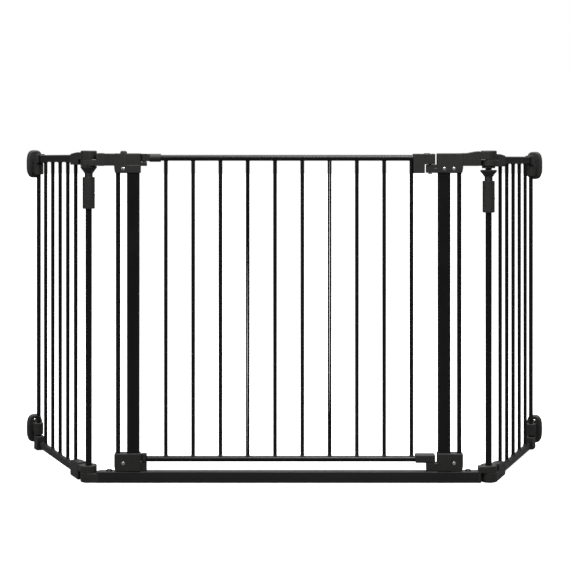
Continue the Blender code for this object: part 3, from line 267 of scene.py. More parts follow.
def boolean(piece, tool_shape, operation):
    """Joins a shape to a piece, or cuts it out, and keeps the result as the piece's mesh."""
    tool = bpy.data.objects.new("tool", as_mesh(tool_shape))
    bpy.context.scene.collection.objects.link(tool)
    step = piece.modifiers.new("boolean", "BOOLEAN")
    step.operation = operation
    step.object = tool
    graph = bpy.context.evaluated_depsgraph_get()
    piece.data = bpy.data.meshes.new_from_object(piece.evaluated_get(graph))
    piece.modifiers.clear()
    bpy.data.objects.remove(tool, do_unlink=True)


def together(shapes):
    """Shapes that don't meet, as one."""
    whole = bmesh.new()
    for shape in shapes:
        whole.from_mesh(as_mesh(shape))
    return whole


made = []


def piece(node, shape, joined=(), cut=(), place=WORLD, material=None):
    """A finished piece that stands for a CAD node: shapes joined, holes cut, put in its place."""
    finished = bpy.data.objects.new(f"{node}_skin", as_mesh(shape))
    bpy.context.scene.collection.objects.link(finished)
    for tool in joined:
        boolean(finished, tool, "UNION")
    for tool in cut:
        boolean(finished, tool, "DIFFERENCE")
    finished.data.name = finished.name
    finished.data.transform(place)
    finished.data.materials.clear()
    finished.data.materials.append(material or finish[slot_of_node[node]])
    finished.data.shade_smooth()
    finished.data.set_sharp_from_angle(angle=math.radians(40))
    even = finished.modifiers.new("even_normals", "WEIGHTED_NORMAL")
    even.keep_sharp = True
    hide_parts(node)
    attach(finished, body_of_node[node])
    made.append(finished)
    return finished


print("pieces can be joined, cut and placed")

# %% [markdown]
# ## Effects shared by the finishes
#
# Three things make a plain black surface look like something real. Grain is the fine height
# pattern of the surface: orange peel on powder coat, spark erosion on a moulding. Handling is a
# slow change over the piece, in gloss more than in colour. Edge wear paints the rounded edges
# paler: partly real wear, and partly a painted sheen for the light that those edges catch. Each is
# a node group, so that every finish can use it with its own values.

# %% Node groups


def new_group(name, numbers, output):
    """An empty shader group with named number inputs and one output."""
    group = bpy.data.node_groups.new(name, "ShaderNodeTree")
    for label, value in numbers.items():
        socket = group.interface.new_socket(label, in_out="INPUT", socket_type="NodeSocketFloat")
        socket.default_value = value
    group.interface.new_socket(output, in_out="OUTPUT", socket_type="NodeSocketFloat")
    inner = group.nodes.new("NodeGroupInput")
    outer = group.nodes.new("NodeGroupOutput")
    inner.location, outer.location = (-600, 0), (400, 0)
    return group, inner, outer


def noise_in(group, scale, detail, roughness=0.5):
    """Noise in the object's own coordinates, so that it moves with the piece."""
    where = group.nodes.new("ShaderNodeTexCoord")
    noise = group.nodes.new("ShaderNodeTexNoise")
    noise.inputs["Detail"].default_value = detail
    noise.inputs["Roughness"].default_value = roughness
    group.links.new(where.outputs["Object"], noise.inputs["Vector"])
    group.links.new(scale, noise.inputs["Scale"])
    return noise.outputs["Fac"]


def make_grain():
    """Fine bumps, with a second, coarser wave under them."""
    group, inner, outer = new_group("grain", {"Fine Scale": 900.0, "Coarse Scale": 160.0}, "Height")
    fine = noise_in(group, inner.outputs["Fine Scale"], 2.0)
    coarse = noise_in(group, inner.outputs["Coarse Scale"], 1.0)
    mixed = group.nodes.new("ShaderNodeMix")
    mixed.inputs["Factor"].default_value = 0.4
    group.links.new(fine, mixed.inputs["A"])
    group.links.new(coarse, mixed.inputs["B"])
    group.links.new(mixed.outputs["Result"], outer.inputs["Height"])
    return group


def make_handling():
    """A slow drift between two values, such as a duller and a glossier patch."""
    group, inner, outer = new_group("handling", {"Scale": 14.0, "Low": 0.4, "High": 0.5}, "Value")
    drift = noise_in(group, inner.outputs["Scale"], 4.0, 0.6)
    spread = group.nodes.new("ShaderNodeMapRange")
    spread.inputs["From Min"].default_value = 0.3
    spread.inputs["From Max"].default_value = 0.7
    group.links.new(drift, spread.inputs["Value"])
    group.links.new(inner.outputs["Low"], spread.inputs["To Min"])
    group.links.new(inner.outputs["High"], spread.inputs["To Max"])
    group.links.new(spread.outputs["Result"], outer.inputs["Value"])
    return group


def make_rub_and_sheen():
    """The rounded edges that were marked, broken up by noise: real wear and a painted sheen, so that neither is a
    drawn line.
    """
    group, inner, outer = new_group("edge_wear", {"Amount": 0.5, "Patch Scale": 90.0}, "Mask")
    edge = group.nodes.new("ShaderNodeAttribute")
    edge.attribute_name = "worn"
    patches = noise_in(group, inner.outputs["Patch Scale"], 3.0)
    broken = group.nodes.new("ShaderNodeMath")
    broken.operation = "MULTIPLY"
    share = group.nodes.new("ShaderNodeMath")
    share.operation = "MULTIPLY"
    group.links.new(edge.outputs["Fac"], broken.inputs[0])
    group.links.new(patches, broken.inputs[1])
    group.links.new(broken.outputs["Value"], share.inputs[0])
    group.links.new(inner.outputs["Amount"], share.inputs[1])
    group.links.new(share.outputs["Value"], outer.inputs["Mask"])
    return group


GRAIN, HANDLING, EDGE_RUB_AND_SHEEN = make_grain(), make_handling(), make_rub_and_sheen()
print("groups:", GRAIN.name, HANDLING.name, EDGE_RUB_AND_SHEEN.name)

# %% [markdown]
# ## The finishes
#
# Powder coat is paint, so it isn't metallic: black pigment under a clear, slightly rippled skin.
# The sill's coat is a copy of the powder coat painted paler, for the light that its front catches
# from the floor; it is also rougher, and its edges get more of the paler edge colour, which is
# part wear and part painted sheen. The mouldings are a shade greyer and duller, with a finer
# grain. Zinc plate is metal, and its gloss varies from spot to spot. One function wires the three
# groups to a Principled shader, and each finish only brings its own numbers.

# %% Finishes


def use(material, group, **values):
    """Places a node group in a material, with its own values."""
    node = material.node_tree.nodes.new("ShaderNodeGroup")
    node.node_tree = group
    for label, value in values.items():
        node.inputs[label.replace("_", " ")].default_value = value
    return node


def mix_colours(material, one, other, mask):
    """One colour where the mask is black, and the other where it is white."""
    mixed = material.node_tree.nodes.new("ShaderNodeMix")
    mixed.data_type = "RGBA"
    mixed.inputs["A"].default_value = (*one, 1.0)
    mixed.inputs["B"].default_value = (*other, 1.0)
    material.node_tree.links.new(mask, mixed.inputs["Factor"])
    return mixed.outputs["Result"]


def surface(
    name, colour, worn, gloss, fine, coarse, height, rub_and_sheen=0.5, metallic=0.0, level=0.5
):
    """A finish: its colour, the paler colour of its edges (real wear and a painted sheen), and its least and most
    roughness.
    """
    material = bpy.data.materials.new(name)
    material.use_nodes = True
    shader = material.node_tree.nodes["Principled BSDF"]
    links = material.node_tree.links
    shader.inputs["Metallic"].default_value = metallic
    shader.inputs["Specular IOR Level"].default_value = level
    edges = use(material, EDGE_RUB_AND_SHEEN, Amount=rub_and_sheen, Patch_Scale=90.0)
    # the marked edges are painted paler: part real wear, part a painted sheen for the light they catch
    links.new(mix_colours(material, colour, worn, edges.outputs["Mask"]), shader.inputs["Base Color"])
    handling = use(material, HANDLING, Scale=14.0, Low=gloss[0], High=gloss[1])
    links.new(handling.outputs["Value"], shader.inputs["Roughness"])
    grain = use(material, GRAIN, Fine_Scale=fine, Coarse_Scale=coarse)
    bump = material.node_tree.nodes.new("ShaderNodeBump")
    bump.inputs["Strength"].default_value = 1.0
    bump.inputs["Distance"].default_value = height
    links.new(grain.outputs["Height"], bump.inputs["Height"])
    links.new(bump.outputs["Normal"], shader.inputs["Normal"])
    return material


# each finish's second colour is its paler edge colour: real wear plus a painted edge sheen
finish = {
    "black_powder_coat": surface(
        "black_powder_coat", (0.0030, 0.0030, 0.0029), (0.014, 0.014, 0.013), (0.26, 0.36),
        fine=700, coarse=260, height=0.00002, level=0.30,
    ),
    # the sill's copy of the powder coat: painted paler for the floor light on its front, and rougher
    "scuffed_powder_coat": surface(
        "scuffed_powder_coat", (0.0090, 0.0090, 0.0087), (0.022, 0.022, 0.021), (0.32, 0.44),
        fine=700, coarse=260, height=0.00003, rub_and_sheen=0.8, level=0.34,
    ),
    "black_moulded_plastic": surface(
        "black_moulded_plastic", (0.0130, 0.0130, 0.0124), (0.034, 0.034, 0.032), (0.40, 0.54),
        fine=1500, coarse=300, height=0.00012, level=0.36,
    ),
    "zinc_steel": surface(
        "zinc_steel", (0.62, 0.63, 0.64), (0.80, 0.80, 0.80), (0.20, 0.36),
        fine=2200, coarse=500, height=0.00003, metallic=1.0,
    ),
    "spring_steel": surface(
        "spring_steel", (0.42, 0.42, 0.43), (0.60, 0.60, 0.60), (0.25, 0.40),
        fine=3000, coarse=900, height=0.00002, metallic=1.0,
    ),
    "black_nylon": surface(
        "black_nylon", (0.0120, 0.0120, 0.0115), (0.026, 0.026, 0.025), (0.32, 0.44),
        fine=1800, coarse=400, height=0.00004, level=0.40,
    ),
}
for node in nodes.values():
    node.data.materials.clear()
    node.data.materials.append(finish[slot_of_node[node.name]])
print("finishes:", ", ".join(finish))

# %% [markdown]
# ## The sill and the posts
#
# The sill is a flat rectangular tube that people step over. Each side of the doorway has a wide
# rectangular post and a thin round one, which stand on the sill and run up into the brackets.
# Rolled tube has a round corner of about its wall's thickness, so only the long edges are rounded.

# %% Sill and posts
# the sill gets the copy of the powder coat that is painted paler for the floor light on its front
piece("sill_tube", rolled_bar(SILL_LOW, SILL_HIGH, "X", 0.002), material=finish["scuffed_powder_coat"])
for side in ("left", "right"):
    low, high = span(f"{side}_wide_post")
    piece(f"{side}_wide_post", rolled_bar(low, high, "Z", 0.003))
    low, high = span(f"{side}_thin_post")
    middle = (low + high) / 2
    piece(f"{side}_thin_post", upright(middle.x, middle.y, low.z, high.z, (high.x - low.x) / 2))
print("sill", round(SILL_HIGH.x - SILL_LOW.x, 3), "m long")

# %% [markdown]
# ## Bolts, screws and pins
#
# The sill's bolts have low domed heads. The bracket screws are pan heads with a cross recess: a
# turned dome with two crossed slots cut in it. They are the only bright metal on the gate, so the
# recess is worth cutting for real.

# %% Fasteners


def sill_bolt(node):
    """A low domed head over its shank."""
    low, high = span(node)
    middle = (low + high) / 2
    head, radius = SILL_HIGH.z + TOUCH, (high.x - low.x) / 2
    dome = [
        (0, low.z), (0.003, low.z), (0.003, head), (radius, head), (radius, head + 0.0008),
        (radius * 0.86, head + 0.0024), (radius * 0.55, high.z - 0.0005), (0, high.z),
    ]
    return piece(node, turned(dome, middle.x, middle.y))


def cross_screw(node):
    """A pan head that faces the front, with its cross recess and its shank."""
    low, high = span(node)
    x, z, front = (low.x + high.x) / 2, (low.z + high.z) / 2, low.y
    dome = turned([
        (0, -SCREW_HEAD), (SCREW_RADIUS, -SCREW_HEAD), (SCREW_RADIUS, -0.0009),
        (SCREW_RADIUS * 0.9, -0.0004), (SCREW_RADIUS * 0.6, -0.0001), (0, 0),
    ])
    slots = [
        box_between((-long, -wide, -0.0011), (long, wide, 0.001))
        for long, wide in ((0.0023, 0.00045), (0.00045, 0.0023))
    ]
    shank = upright(0, 0, front - high.y, -0.0009, SHANK_RADIUS)
    facing = Matrix.Translation((x, front, z)) @ Matrix.Rotation(math.radians(90), 4, "X")
    skewed = facing @ Matrix.Rotation(math.radians(25), 4, "Z")
    return piece(node, dome, joined=[shank], cut=slots, place=skewed)


def plain_pin(node):
    low, high = span(node)
    middle = (low + high) / 2
    return piece(
        node, upright(middle.x, middle.y, low.z, high.z, (high.x - low.x) / 2, rim=0.0008, sides=32)
    )


def keeper_pin(node, head):
    """A pin with a rounded tip, which the closed door drops over. The upper one has a head."""
    low, high = span(node)
    middle = (low + high) / 2
    stem = upright(middle.x, middle.y, low.z, high.z, PIN_RADIUS, rim=0.001, sides=32)
    foot = low.z + PIN_HEAD_DEPTH
    top = [upright(middle.x, middle.y, low.z, foot, PIN_HEAD_RADIUS, rim=0.0008)] if head else []
    return piece(node, stem, joined=top)


for side in ("left", "right"):
    sill_bolt(f"{side}_sill_bolt")
for node in sorted(nodes):
    if node.endswith("_screw") and "collar" not in node:
        cross_screw(node)
for node in ("upper_hinge_pin", "lower_hinge_pin"):
    plain_pin(node)
keeper_pin("upper_keeper_pin", head=True)
keeper_pin("lower_keeper_pin", head=False)
print("fasteners:", sum("screw" in item.name or "bolt" in item.name for item in made))

# %% [markdown]
# ## The corner's turned parts
#
# Each corner of the gate is a stack on one rod. The cap is a short drum with a soft rim, a shallow
# dish on top and a slight draft, because a moulding has to come out of its mould. The knuckle
# under it has a boss with notches, which the sliding collar locks into. Both are made once here,
# then joined to whichever bracket or panel end they belong to.

# %% Corner parts


def moulding(x, y, z, radius=0.002):
    """A rounded box from its spans in x, y and z."""
    return moulded_box((x[0], y[0], z[0]), (x[1], y[1], z[1]), radius)


def side_span(sign, near, far):
    """Two distances from the gate's middle, as a low and a high x on that side."""
    return tuple(sorted((sign * near, sign * far)))


def cap(x=0.0, y=0.0):
    """The round cap, with a fine groove near its foot and a dished top."""
    draft, rim, groove = 0.0006, 0.003, CAP_LOW + 0.0045
    foot = KNUCKLE_RADIUS - draft
    profile = [
        (0, CAP_LOW), (foot - 0.0006, CAP_LOW), (foot, CAP_LOW + 0.0006), (foot, groove - 0.0006),
        (foot - 0.0006, groove - 0.0002), (foot - 0.0006, groove + 0.0002),
        (foot + 0.0001, groove + 0.0006),
    ]
    for step in range(6):
        angle = math.radians(18 * step)
        profile.append(
            (KNUCKLE_RADIUS - rim + rim * math.cos(angle), TOP - rim + rim * math.sin(angle))
        )
    profile += [(KNUCKLE_RADIUS - 0.0050, TOP - 0.0001), (KNUCKLE_RADIUS - 0.0066, TOP - 0.0010)]
    return turned([*profile, (0, TOP - 0.0014)], x, y, 56)


def knuckle(x, y, low, high):
    return upright(x, y, low, high, KNUCKLE_RADIUS, rim=0.0008, sides=56)


def boss(x, y):
    return upright(x, y, KNUCKLE_LOW - BOSS_DEPTH, KNUCKLE_LOW + 0.002, BOSS_RADIUS, rim=0.0006)


def boss_notches(x, y):
    """Twelve notches round a boss, which the collar locks into."""
    notches = []
    for step in range(12):
        low, high = (BOSS_RADIUS - 0.0014, -0.0009, -0.001), (KNUCKLE_RADIUS, 0.0009, BOSS_DEPTH)
        notch = box_between(low, high)
        turn = Matrix.Rotation(math.radians(30 * step + 7), 4, "Z")
        lift = Matrix.Translation((x, y, KNUCKLE_LOW - BOSS_DEPTH - 0.0002))
        bmesh.ops.transform(notch, matrix=lift @ turn, verts=notch.verts)
        notches.append(notch)
    return together(notches)


def rod_bore(x, y, low, high):
    return upright(x, y, low, high, ROD_RADIUS + TOUCH, rim=0, sides=44)


ROD_END = span("left_corner_rod")[1].z + TOUCH
print("cap", round(CAP_DEPTH * 1000), "mm deep on a rod", round(ROD_RADIUS * 2000), "mm across")

# %% [markdown]
# ## The upper brackets
#
# A bracket caps a pair of posts. Its arm runs out to the corner, and ends in a knuckle on the left
# and in the cap on the right. The left bracket has the shelf that the door hangs on, and a rib
# that runs up its front past the top, over the screw. The right one has the keeper's tongue that
# the latch drops over. The arm gets two shallow steps, where the real one is thicker over its
# ribs, and a ramp up to the cap.
#
# Where a round moulding turns beside the arm, the arm's end is hollowed to follow it. The hollow
# stays clear of the side panel's block all the way round its half turn.

# %% Upper brackets
SCREW_Z = sum(end.z for end in span("upper_hinge_bracket_screw")) / 2
HALF = -BRACKET_FRONT
RECESS = BRACKET_FRONT + 0.0009
PIN_BORE = PIN_RADIUS + TOUCH
SHELF_TOP = span("upper_hinge_bush")[0].z - TOUCH
SHELF_RADIUS = 0.0065
ARM_HALF = 0.010
SHANK_HOLE = 0.0146
ARM_STEP_X = 0.405
RAMP_LENGTH = 0.028
SADDLE_GAP = 0.0007
SADDLE_END = 0.0190  # from the rod's axis, so that a folded panel's block clears it


def counterbore(x, z, front):
    """The recess that a screw's head sits in, and the hole for its shank."""
    seat, tip = BRACKET_FRONT + SCREW_HEAD + TOUCH, BRACKET_FRONT + SHANK_HOLE
    head = drum((x, front - 0.002, z), (x, seat, z), SCREW_RADIUS + TOUCH, rim=0)
    shank = drum((x, BRACKET_FRONT, z), (x, tip, z), SHANK_RADIUS + TOUCH, rim=0)
    return [head, shank]


def post_holes(sign, low, high):
    """The sockets that a bracket slides over its two posts with."""
    wide = rolled_bar(
        (sign * POST_X - (POST_HIGH.x - POST_X) - TOUCH, POST_LOW.y - TOUCH, low),
        (sign * POST_X + (POST_HIGH.x - POST_X) + TOUCH, POST_HIGH.y + TOUCH, high), "Z", 0.003,
    )
    x, radius = (THIN_LOW.x + THIN_HIGH.x) / 2, (THIN_HIGH.x - THIN_LOW.x) / 2
    return [wide, upright(sign * x, 0, low, high, radius + TOUCH, rim=0)]


def bracket_body(sign, front, low, high, radius=0.0022):
    """The block round the posts. Its outer side leans out a little, up to the arm's level."""
    outline = [
        (BRACKET_INNER, low), (BRACKET_OUTER - 0.0016, low),
        (BRACKET_OUTER + 0.0006, low + 0.011), (BRACKET_OUTER + 0.0006, high), (BRACKET_INNER, high),
    ]
    return cut_out([(sign * x, z) for x, z in outline], front, HALF, radius)


def saddle(sign, low, high):
    """The arm's end, hollowed to follow the round moulding that turns in front of it."""
    x = side_span(sign, ROD_X - BLOCK_START - 0.003, ROD_X - SADDLE_END)
    return moulding(x, (0.0004 - ARM_HALF, ARM_HALF - 0.0004), (low, high), 0.0006)


def hollow(sign, low, high):
    """The round room that a turning cap or knuckle needs."""
    return upright(sign * ROD_X, ROD_Y, low, high, KNUCKLE_RADIUS + SADDLE_GAP, rim=0, sides=56)


def cheek(sign, low, high):
    """A pad on the bracket's inner side that nearly closes the gap beside the hinge."""
    x = side_span(sign, BRACKET_INNER - 0.0009, BRACKET_INNER + 0.003)
    return moulding(x, (-0.0070, 0.0070), (low, high), 0.0005)


def groove_down(x, front, z):
    """A fine upright groove in a front face, where two halves of a moulding meet."""
    return box_between((x - 0.0003, front - 0.001, z[0]), (x + 0.0003, front + 0.0006, z[1]))


def hinge_shelf(low, high):
    """The round shelf that the door's barrel sits on."""
    step = moulding((-BRACKET_INNER - 0.002, -HINGE_X), (-0.0061, 0.0061),
                    (low + 0.0004, high - 0.0004), 0.0006)
    return [step, upright(-HINGE_X, 0, low, high, SHELF_RADIUS)]


def knuckle_web(sign, low, high):
    """The neck between an arm and its cap or knuckle."""
    x = side_span(sign, ROD_X - BLOCK_START - 0.003, ROD_X + 0.0013)
    return moulding(x, (-0.0096, 0.0096), (low + 0.0004, high - 0.0004), 0.0006)


SOCKET_TOP = POST_HIGH.z + TOUCH
arm_x = side_span(-1, BRACKET_OUTER - 0.003, ROD_X - BLOCK_START)
rib_x = side_span(-1, SCREW_X - 0.0068, SCREW_X + 0.0068)
post_side = side_span(-1, BRACKET_INNER - 0.0002, POST_HIGH.x + 0.0012)
piece(
    "upper_hinge_bracket", bracket_body(-1, RECESS, SKIRT_LOW, ARM_TOP - 0.0006),
    joined=[
        moulding(arm_x, (0.0006 - ARM_HALF, ARM_HALF), (KNUCKLE_LOW + 0.0006, ARM_TOP - 0.001)),
        moulding(side_span(-1, ARM_STEP_X, ROD_X - BLOCK_START), (-ARM_HALF, ARM_HALF - 0.0004),
                 (KNUCKLE_LOW, ARM_TOP), 0.0022),
        moulding(rib_x, (BRACKET_FRONT + 0.0002, 0.008), (SKIRT_LOW + 0.0012, ARM_TOP + 0.005),
                 0.0040),
        moulding(post_side, (BRACKET_FRONT, 0.0104), (SKIRT_LOW + 0.0002, KNUCKLE_LOW + 0.0022),
                 0.0015),
        cheek(-1, SHELF_TOP - 0.001, ARM_TOP - 0.0009),
        saddle(-1, KNUCKLE_LOW + 0.0006, ARM_TOP - 0.0006),
        knuckle_web(-1, KNUCKLE_LOW, KNUCKLE_HIGH),
        knuckle(-ROD_X, ROD_Y, KNUCKLE_LOW, KNUCKLE_HIGH),
        boss(-ROD_X, ROD_Y),
        *hinge_shelf(KNUCKLE_LOW, SHELF_TOP),
    ],
    cut=[
        hollow(-1, KNUCKLE_HIGH, TOP),
        boss_notches(-ROD_X, ROD_Y),
        *post_holes(-1, SKIRT_LOW - 0.001, SOCKET_TOP),
        *counterbore(-SCREW_X, SCREW_Z, BRACKET_FRONT),
        rod_bore(-ROD_X, ROD_Y, SKIRT_LOW, TOP),
        upright(-HINGE_X, 0, span("upper_hinge_pin")[0].z - TOUCH, TOP, PIN_BORE, rim=0, sides=36),
    ],
)
TONGUE_TOP = SKIRT_LOW + TONGUE_HEIGHT
RAMP = [
    (BRACKET_OUTER - 0.004, KNUCKLE_LOW), (ROD_X - BLOCK_START, KNUCKLE_LOW),
    (ROD_X - BLOCK_START, TOP - 0.0012), (ROD_X - BLOCK_START - 0.010, TOP - 0.0020),
    (ROD_X - BLOCK_START - RAMP_LENGTH, ARM_TOP), (BRACKET_OUTER - 0.004, ARM_TOP),
]
piece(
    "upper_keeper_bracket", bracket_body(1, BRACKET_FRONT, SKIRT_LOW, ARM_TOP - 0.0004),
    joined=[
        cut_out(RAMP, -ARM_HALF, ARM_HALF, 0.0018),
        saddle(1, KNUCKLE_LOW + 0.0004, TOP - 0.0026),
        knuckle_web(1, CAP_LOW, TOP - 0.0022),
        cap(ROD_X, ROD_Y),
        moulding((KEEPER_X - 0.0088, BRACKET_INNER + 0.004), (-0.008, 0.008),
                 (SKIRT_LOW + 0.0004, TONGUE_TOP), 0.0022),
        moulding((KEEPER_X + 0.0056, BRACKET_INNER + 0.004), (-0.0094, 0.0094),
                 (SKIRT_LOW + 0.0010, TONGUE_TOP - 0.0075), 0.0018),
    ],
    cut=[
        hollow(1, SKIRT_LOW, CAP_LOW),
        *post_holes(1, SKIRT_LOW - 0.001, SOCKET_TOP),
        *counterbore(POST_X, SCREW_Z, BRACKET_FRONT),
        *counterbore(SCREW_X, SCREW_Z, BRACKET_FRONT),
        rod_bore(ROD_X, ROD_Y, SKIRT_LOW, ROD_END),
        upright(KEEPER_X, 0, SKIRT_LOW - 0.001, TOP, PIN_BORE, rim=0, sides=36),
    ],
)
print("upper brackets reach from", round(SKIRT_LOW, 4), "to", round(TOP, 4))

# %% [markdown]
# ## The lower brackets
#
# These stand on the sill round the posts' feet. Each is a block with the thin post's half set back
# a little, so that a line runs down between the two halves. The left one carries the door's lower
# hinge, and the right one a foot that the door's shoe sits on when it's shut.

# %% Lower brackets
LOWER_SCREW_Z = sum(end.z for end in span("lower_hinge_bracket_screw")) / 2
LOWER_LOW, LOWER_HIGH = span("lower_hinge_bracket")
LOWER_SHELF = span("lower_hinge_bush")[0].z - TOUCH
for side, sign in (("left", -1), ("right", 1)):
    whole = bracket_body(sign, RECESS, LOWER_LOW.z, LOWER_HIGH.z - 0.0004, 0.0022)
    thick_half = moulding(
        side_span(sign, BRACKET_INNER, POST_HIGH.x + 0.0008), (BRACKET_FRONT, HALF - 0.0003),
        (LOWER_LOW.z + 0.0004, LOWER_HIGH.z), 0.0020,
    )
    seam = groove_down(sign * (POST_HIGH.x + 0.0012), RECESS, (LOWER_LOW.z - 0.001, 0.070))
    holes = [
        *post_holes(sign, LOWER_LOW.z - 0.001, LOWER_HIGH.z + 0.001),
        *counterbore(sign * SCREW_X, LOWER_SCREW_Z, BRACKET_FRONT),
    ]
    if side == "left":
        pin_bore = upright(
            -HINGE_X, 0, span("lower_hinge_pin")[0].z - TOUCH, 0.1, PIN_BORE, rim=0, sides=36
        )
        piece(
            "lower_hinge_bracket", whole,
            joined=[
                thick_half, cheek(-1, LOWER_SHELF - 0.001, LOWER_HIGH.z - 0.0012),
                *hinge_shelf(LOWER_LOW.z, LOWER_SHELF),
            ],
            cut=[seam, *holes, pin_bore],
        )
    else:
        pin_bore = upright(
            KEEPER_X, 0, span("lower_keeper_pin")[0].z - TOUCH, 0.1, PIN_BORE, rim=0, sides=36
        )
        foot = moulding(
            (KEEPER_X - 0.0088, BRACKET_INNER + 0.004), (-0.009, 0.009),
            (LOWER_LOW.z + 0.0004, LOWER_SHELF), 0.0018,
        )
        piece(
            "lower_keeper_bracket", whole, joined=[thick_half, foot], cut=[seam, *holes, pin_bore]
        )
print("lower brackets", round((LOWER_HIGH.z - LOWER_LOW.z) * 1000, 1), "mm tall")

# %% [markdown]
# ## The floor corners
#
# A floor corner plugs into the sill's end and turns round the rod. On the left it is the lower
# knuckle of its stack, flat on the floor. On the right it is the upper one, so it steps up.

# %% Floor corners and corner rods
SILL_HALF = SILL_HIGH.y
for side, sign in (("left", -1), ("right", 1)):
    low, high = span(f"{side}_floor_knuckle")
    level = (0.0, FLOOR_KNUCKLE_DEPTH) if side == "left" else (FLOOR_KNUCKLE_DEPTH + TOUCH, high.z)
    end = SILL_HIGH.x + TOUCH
    inner_y = (0.0004 - SILL_HALF, SILL_HALF - 0.0004)
    bore_from = 0.003 if side == "left" else -0.001
    open_level = (level[1], 0.1) if side == "left" else (-0.001, level[0])
    stand = max(high.z, SILL_HIGH.z)
    piece(
        f"{side}_floor_knuckle", knuckle(sign * ROD_X, ROD_Y, *level),
        joined=[
            moulding(side_span(sign, end + 0.0005, ROD_X + 0.0013), inner_y,
                     (level[0] + 0.0004, level[1] - 0.0004), 0.0008),
            moulding(side_span(sign, end, ROD_X - BLOCK_START), (-SILL_HALF, SILL_HALF),
                     (0.0, stand - 0.0006), 0.0008),
            saddle(sign, 0.0004, stand - 0.0012),
        ],
        cut=[hollow(sign, *open_level), rod_bore(sign * ROD_X, ROD_Y, bore_from, 0.1)],
    )
    rod_low, rod_high = span(f"{side}_corner_rod")
    piece(
        f"{side}_corner_rod",
        upright(sign * ROD_X, ROD_Y, rod_low.z, rod_high.z, ROD_RADIUS, rim=0.0005, sides=48),
    )
print("rods", round((rod_high.z - rod_low.z) * 1000), "mm long")

# %% [markdown]
# ## The sliding collars
#
# A collar is gripped by its fluted barrel and pulled down until its cup clears the boss. The
# flutes are moulded, so they are soft waves rather than knurling. Its cup is hollow, and the left
# one stays up over its boss while the right one is drawn down.

# %% Collars
GRIP_RADIUS = 0.0137
GRIP_LENGTH = 0.070
NECK_RADIUS = 0.009
NECK_LENGTH = 0.009
FLUTES = 24


def fluted_grip(x, y, low, high):
    """A barrel with soft upright flutes and bevelled ends."""
    outline = []
    for step in range(FLUTES * 4):
        angle = 2 * math.pi * step / (FLUTES * 4)
        radius = GRIP_RADIUS - (0.0, 0.00025, 0.0006, 0.00025)[step % 4]
        outline.append((x + radius * math.cos(angle), y + radius * math.sin(angle)))
    shape = cut_out(outline, low, high, 0, axis="Z")
    rims = [edge for edge in shape.edges if abs(edge.verts[0].co.z - edge.verts[1].co.z) < 1e-7]
    return soften(shape, rims, 0.0008, 2)


for side, sign in (("left", -1), ("right", 1)):
    x, node = sign * ROD_X, f"{side}_lock_collar"
    low, high = span(node)
    grip_top = low.z + GRIP_LENGTH
    cone_low = grip_top + NECK_LENGTH
    cup = turned([
        (0, grip_top - 0.003), (NECK_RADIUS, grip_top - 0.003), (NECK_RADIUS, cone_low),
        (NECK_RADIUS + 0.0012, cone_low + 0.0010), (KNUCKLE_RADIUS - 0.0008, high.z - 0.0042),
        (KNUCKLE_RADIUS, high.z - 0.0032), (KNUCKLE_RADIUS, high.z - 0.0006),
        (KNUCKLE_RADIUS - 0.0006, high.z), (0, high.z),
    ], x, ROD_Y, 56)
    screw_low, screw_high = span(f"{side}_collar_screw")
    screw_z = (screw_low.z + screw_high.z) / 2
    piece(
        node, fluted_grip(x, ROD_Y, low.z, grip_top),
        joined=[cup, upright(x, ROD_Y, low.z + 0.0010, low.z + 0.0060, GRIP_RADIUS - 0.0001, 0.0006)],
        cut=[
            upright(x, ROD_Y, high.z - BOSS_DEPTH - TOUCH, high.z + 0.001, BOSS_RADIUS + 0.0006,
                    rim=0, sides=56),
            rod_bore(x, ROD_Y, low.z - 0.001, high.z + 0.001),
            drum((screw_low.x - TOUCH, ROD_Y, screw_z), (screw_high.x + 0.01, ROD_Y, screw_z),
                 (screw_high.z - screw_low.z) / 2 + TOUCH, rim=0, sides=24),
        ],
    )
    length, radius = screw_high.x - screw_low.x, (screw_high.z - screw_low.z) / 2
    stud = turned([
        (0, 0), (radius, 0), (radius, length - 0.0009), (radius * 0.85, length - 0.0003), (0, length)
    ], steps=28)
    facing = Matrix.Translation((screw_low.x, ROD_Y, screw_z)) @ Matrix.Rotation(
        math.radians(90), 4, "Y"
    )
    slot = box_between((-0.0004, -0.004, length - 0.0008), (0.0004, 0.004, length + 0.001))
    piece(f"{side}_collar_screw", stud, cut=[slot], place=facing)
print("collars", round((high.z - low.z) * 1000), "mm long, with", FLUTES, "flutes")

# %% [markdown]
# ## Welded panels
#
# The door and the side panels are made the same way: two rails with round bars between them,
# welded all round. A weld under powder coat shows as a small soft collar at the root of each bar.
# The bars, beads and rails are joined to one skin, because one coat of powder covers them all.

# %% Panels


def panel(node, rails, bar_xs, plane, levels, reach, place=WORLD):
    """Rails and bars as one skin. A bead's foot is sunk in the rail by as much as reach allows."""
    bottom, top = levels
    bars = [upright(x, plane, bottom, top, BAR_RADIUS, rim=0, sides=28) for x in bar_xs]
    beads = []
    for x in bar_xs:
        for level, way in ((bottom, 1), (top, -1)):
            root, tip = level + way * (reach - 0.001), level + way * (reach + WELD_HEIGHT)
            edge = level + way * (reach + 0.0006)
            bead = [(0, root), (WELD_RADIUS, root), (WELD_RADIUS, edge),
                    (BAR_RADIUS + 0.0003, tip - way * 0.0004), (BAR_RADIUS - 0.0003, tip), (0, tip)]
            beads.append(turned(bead, x, plane, 28))
    return piece(node, together(bars), joined=[together(beads), *rails], place=place)


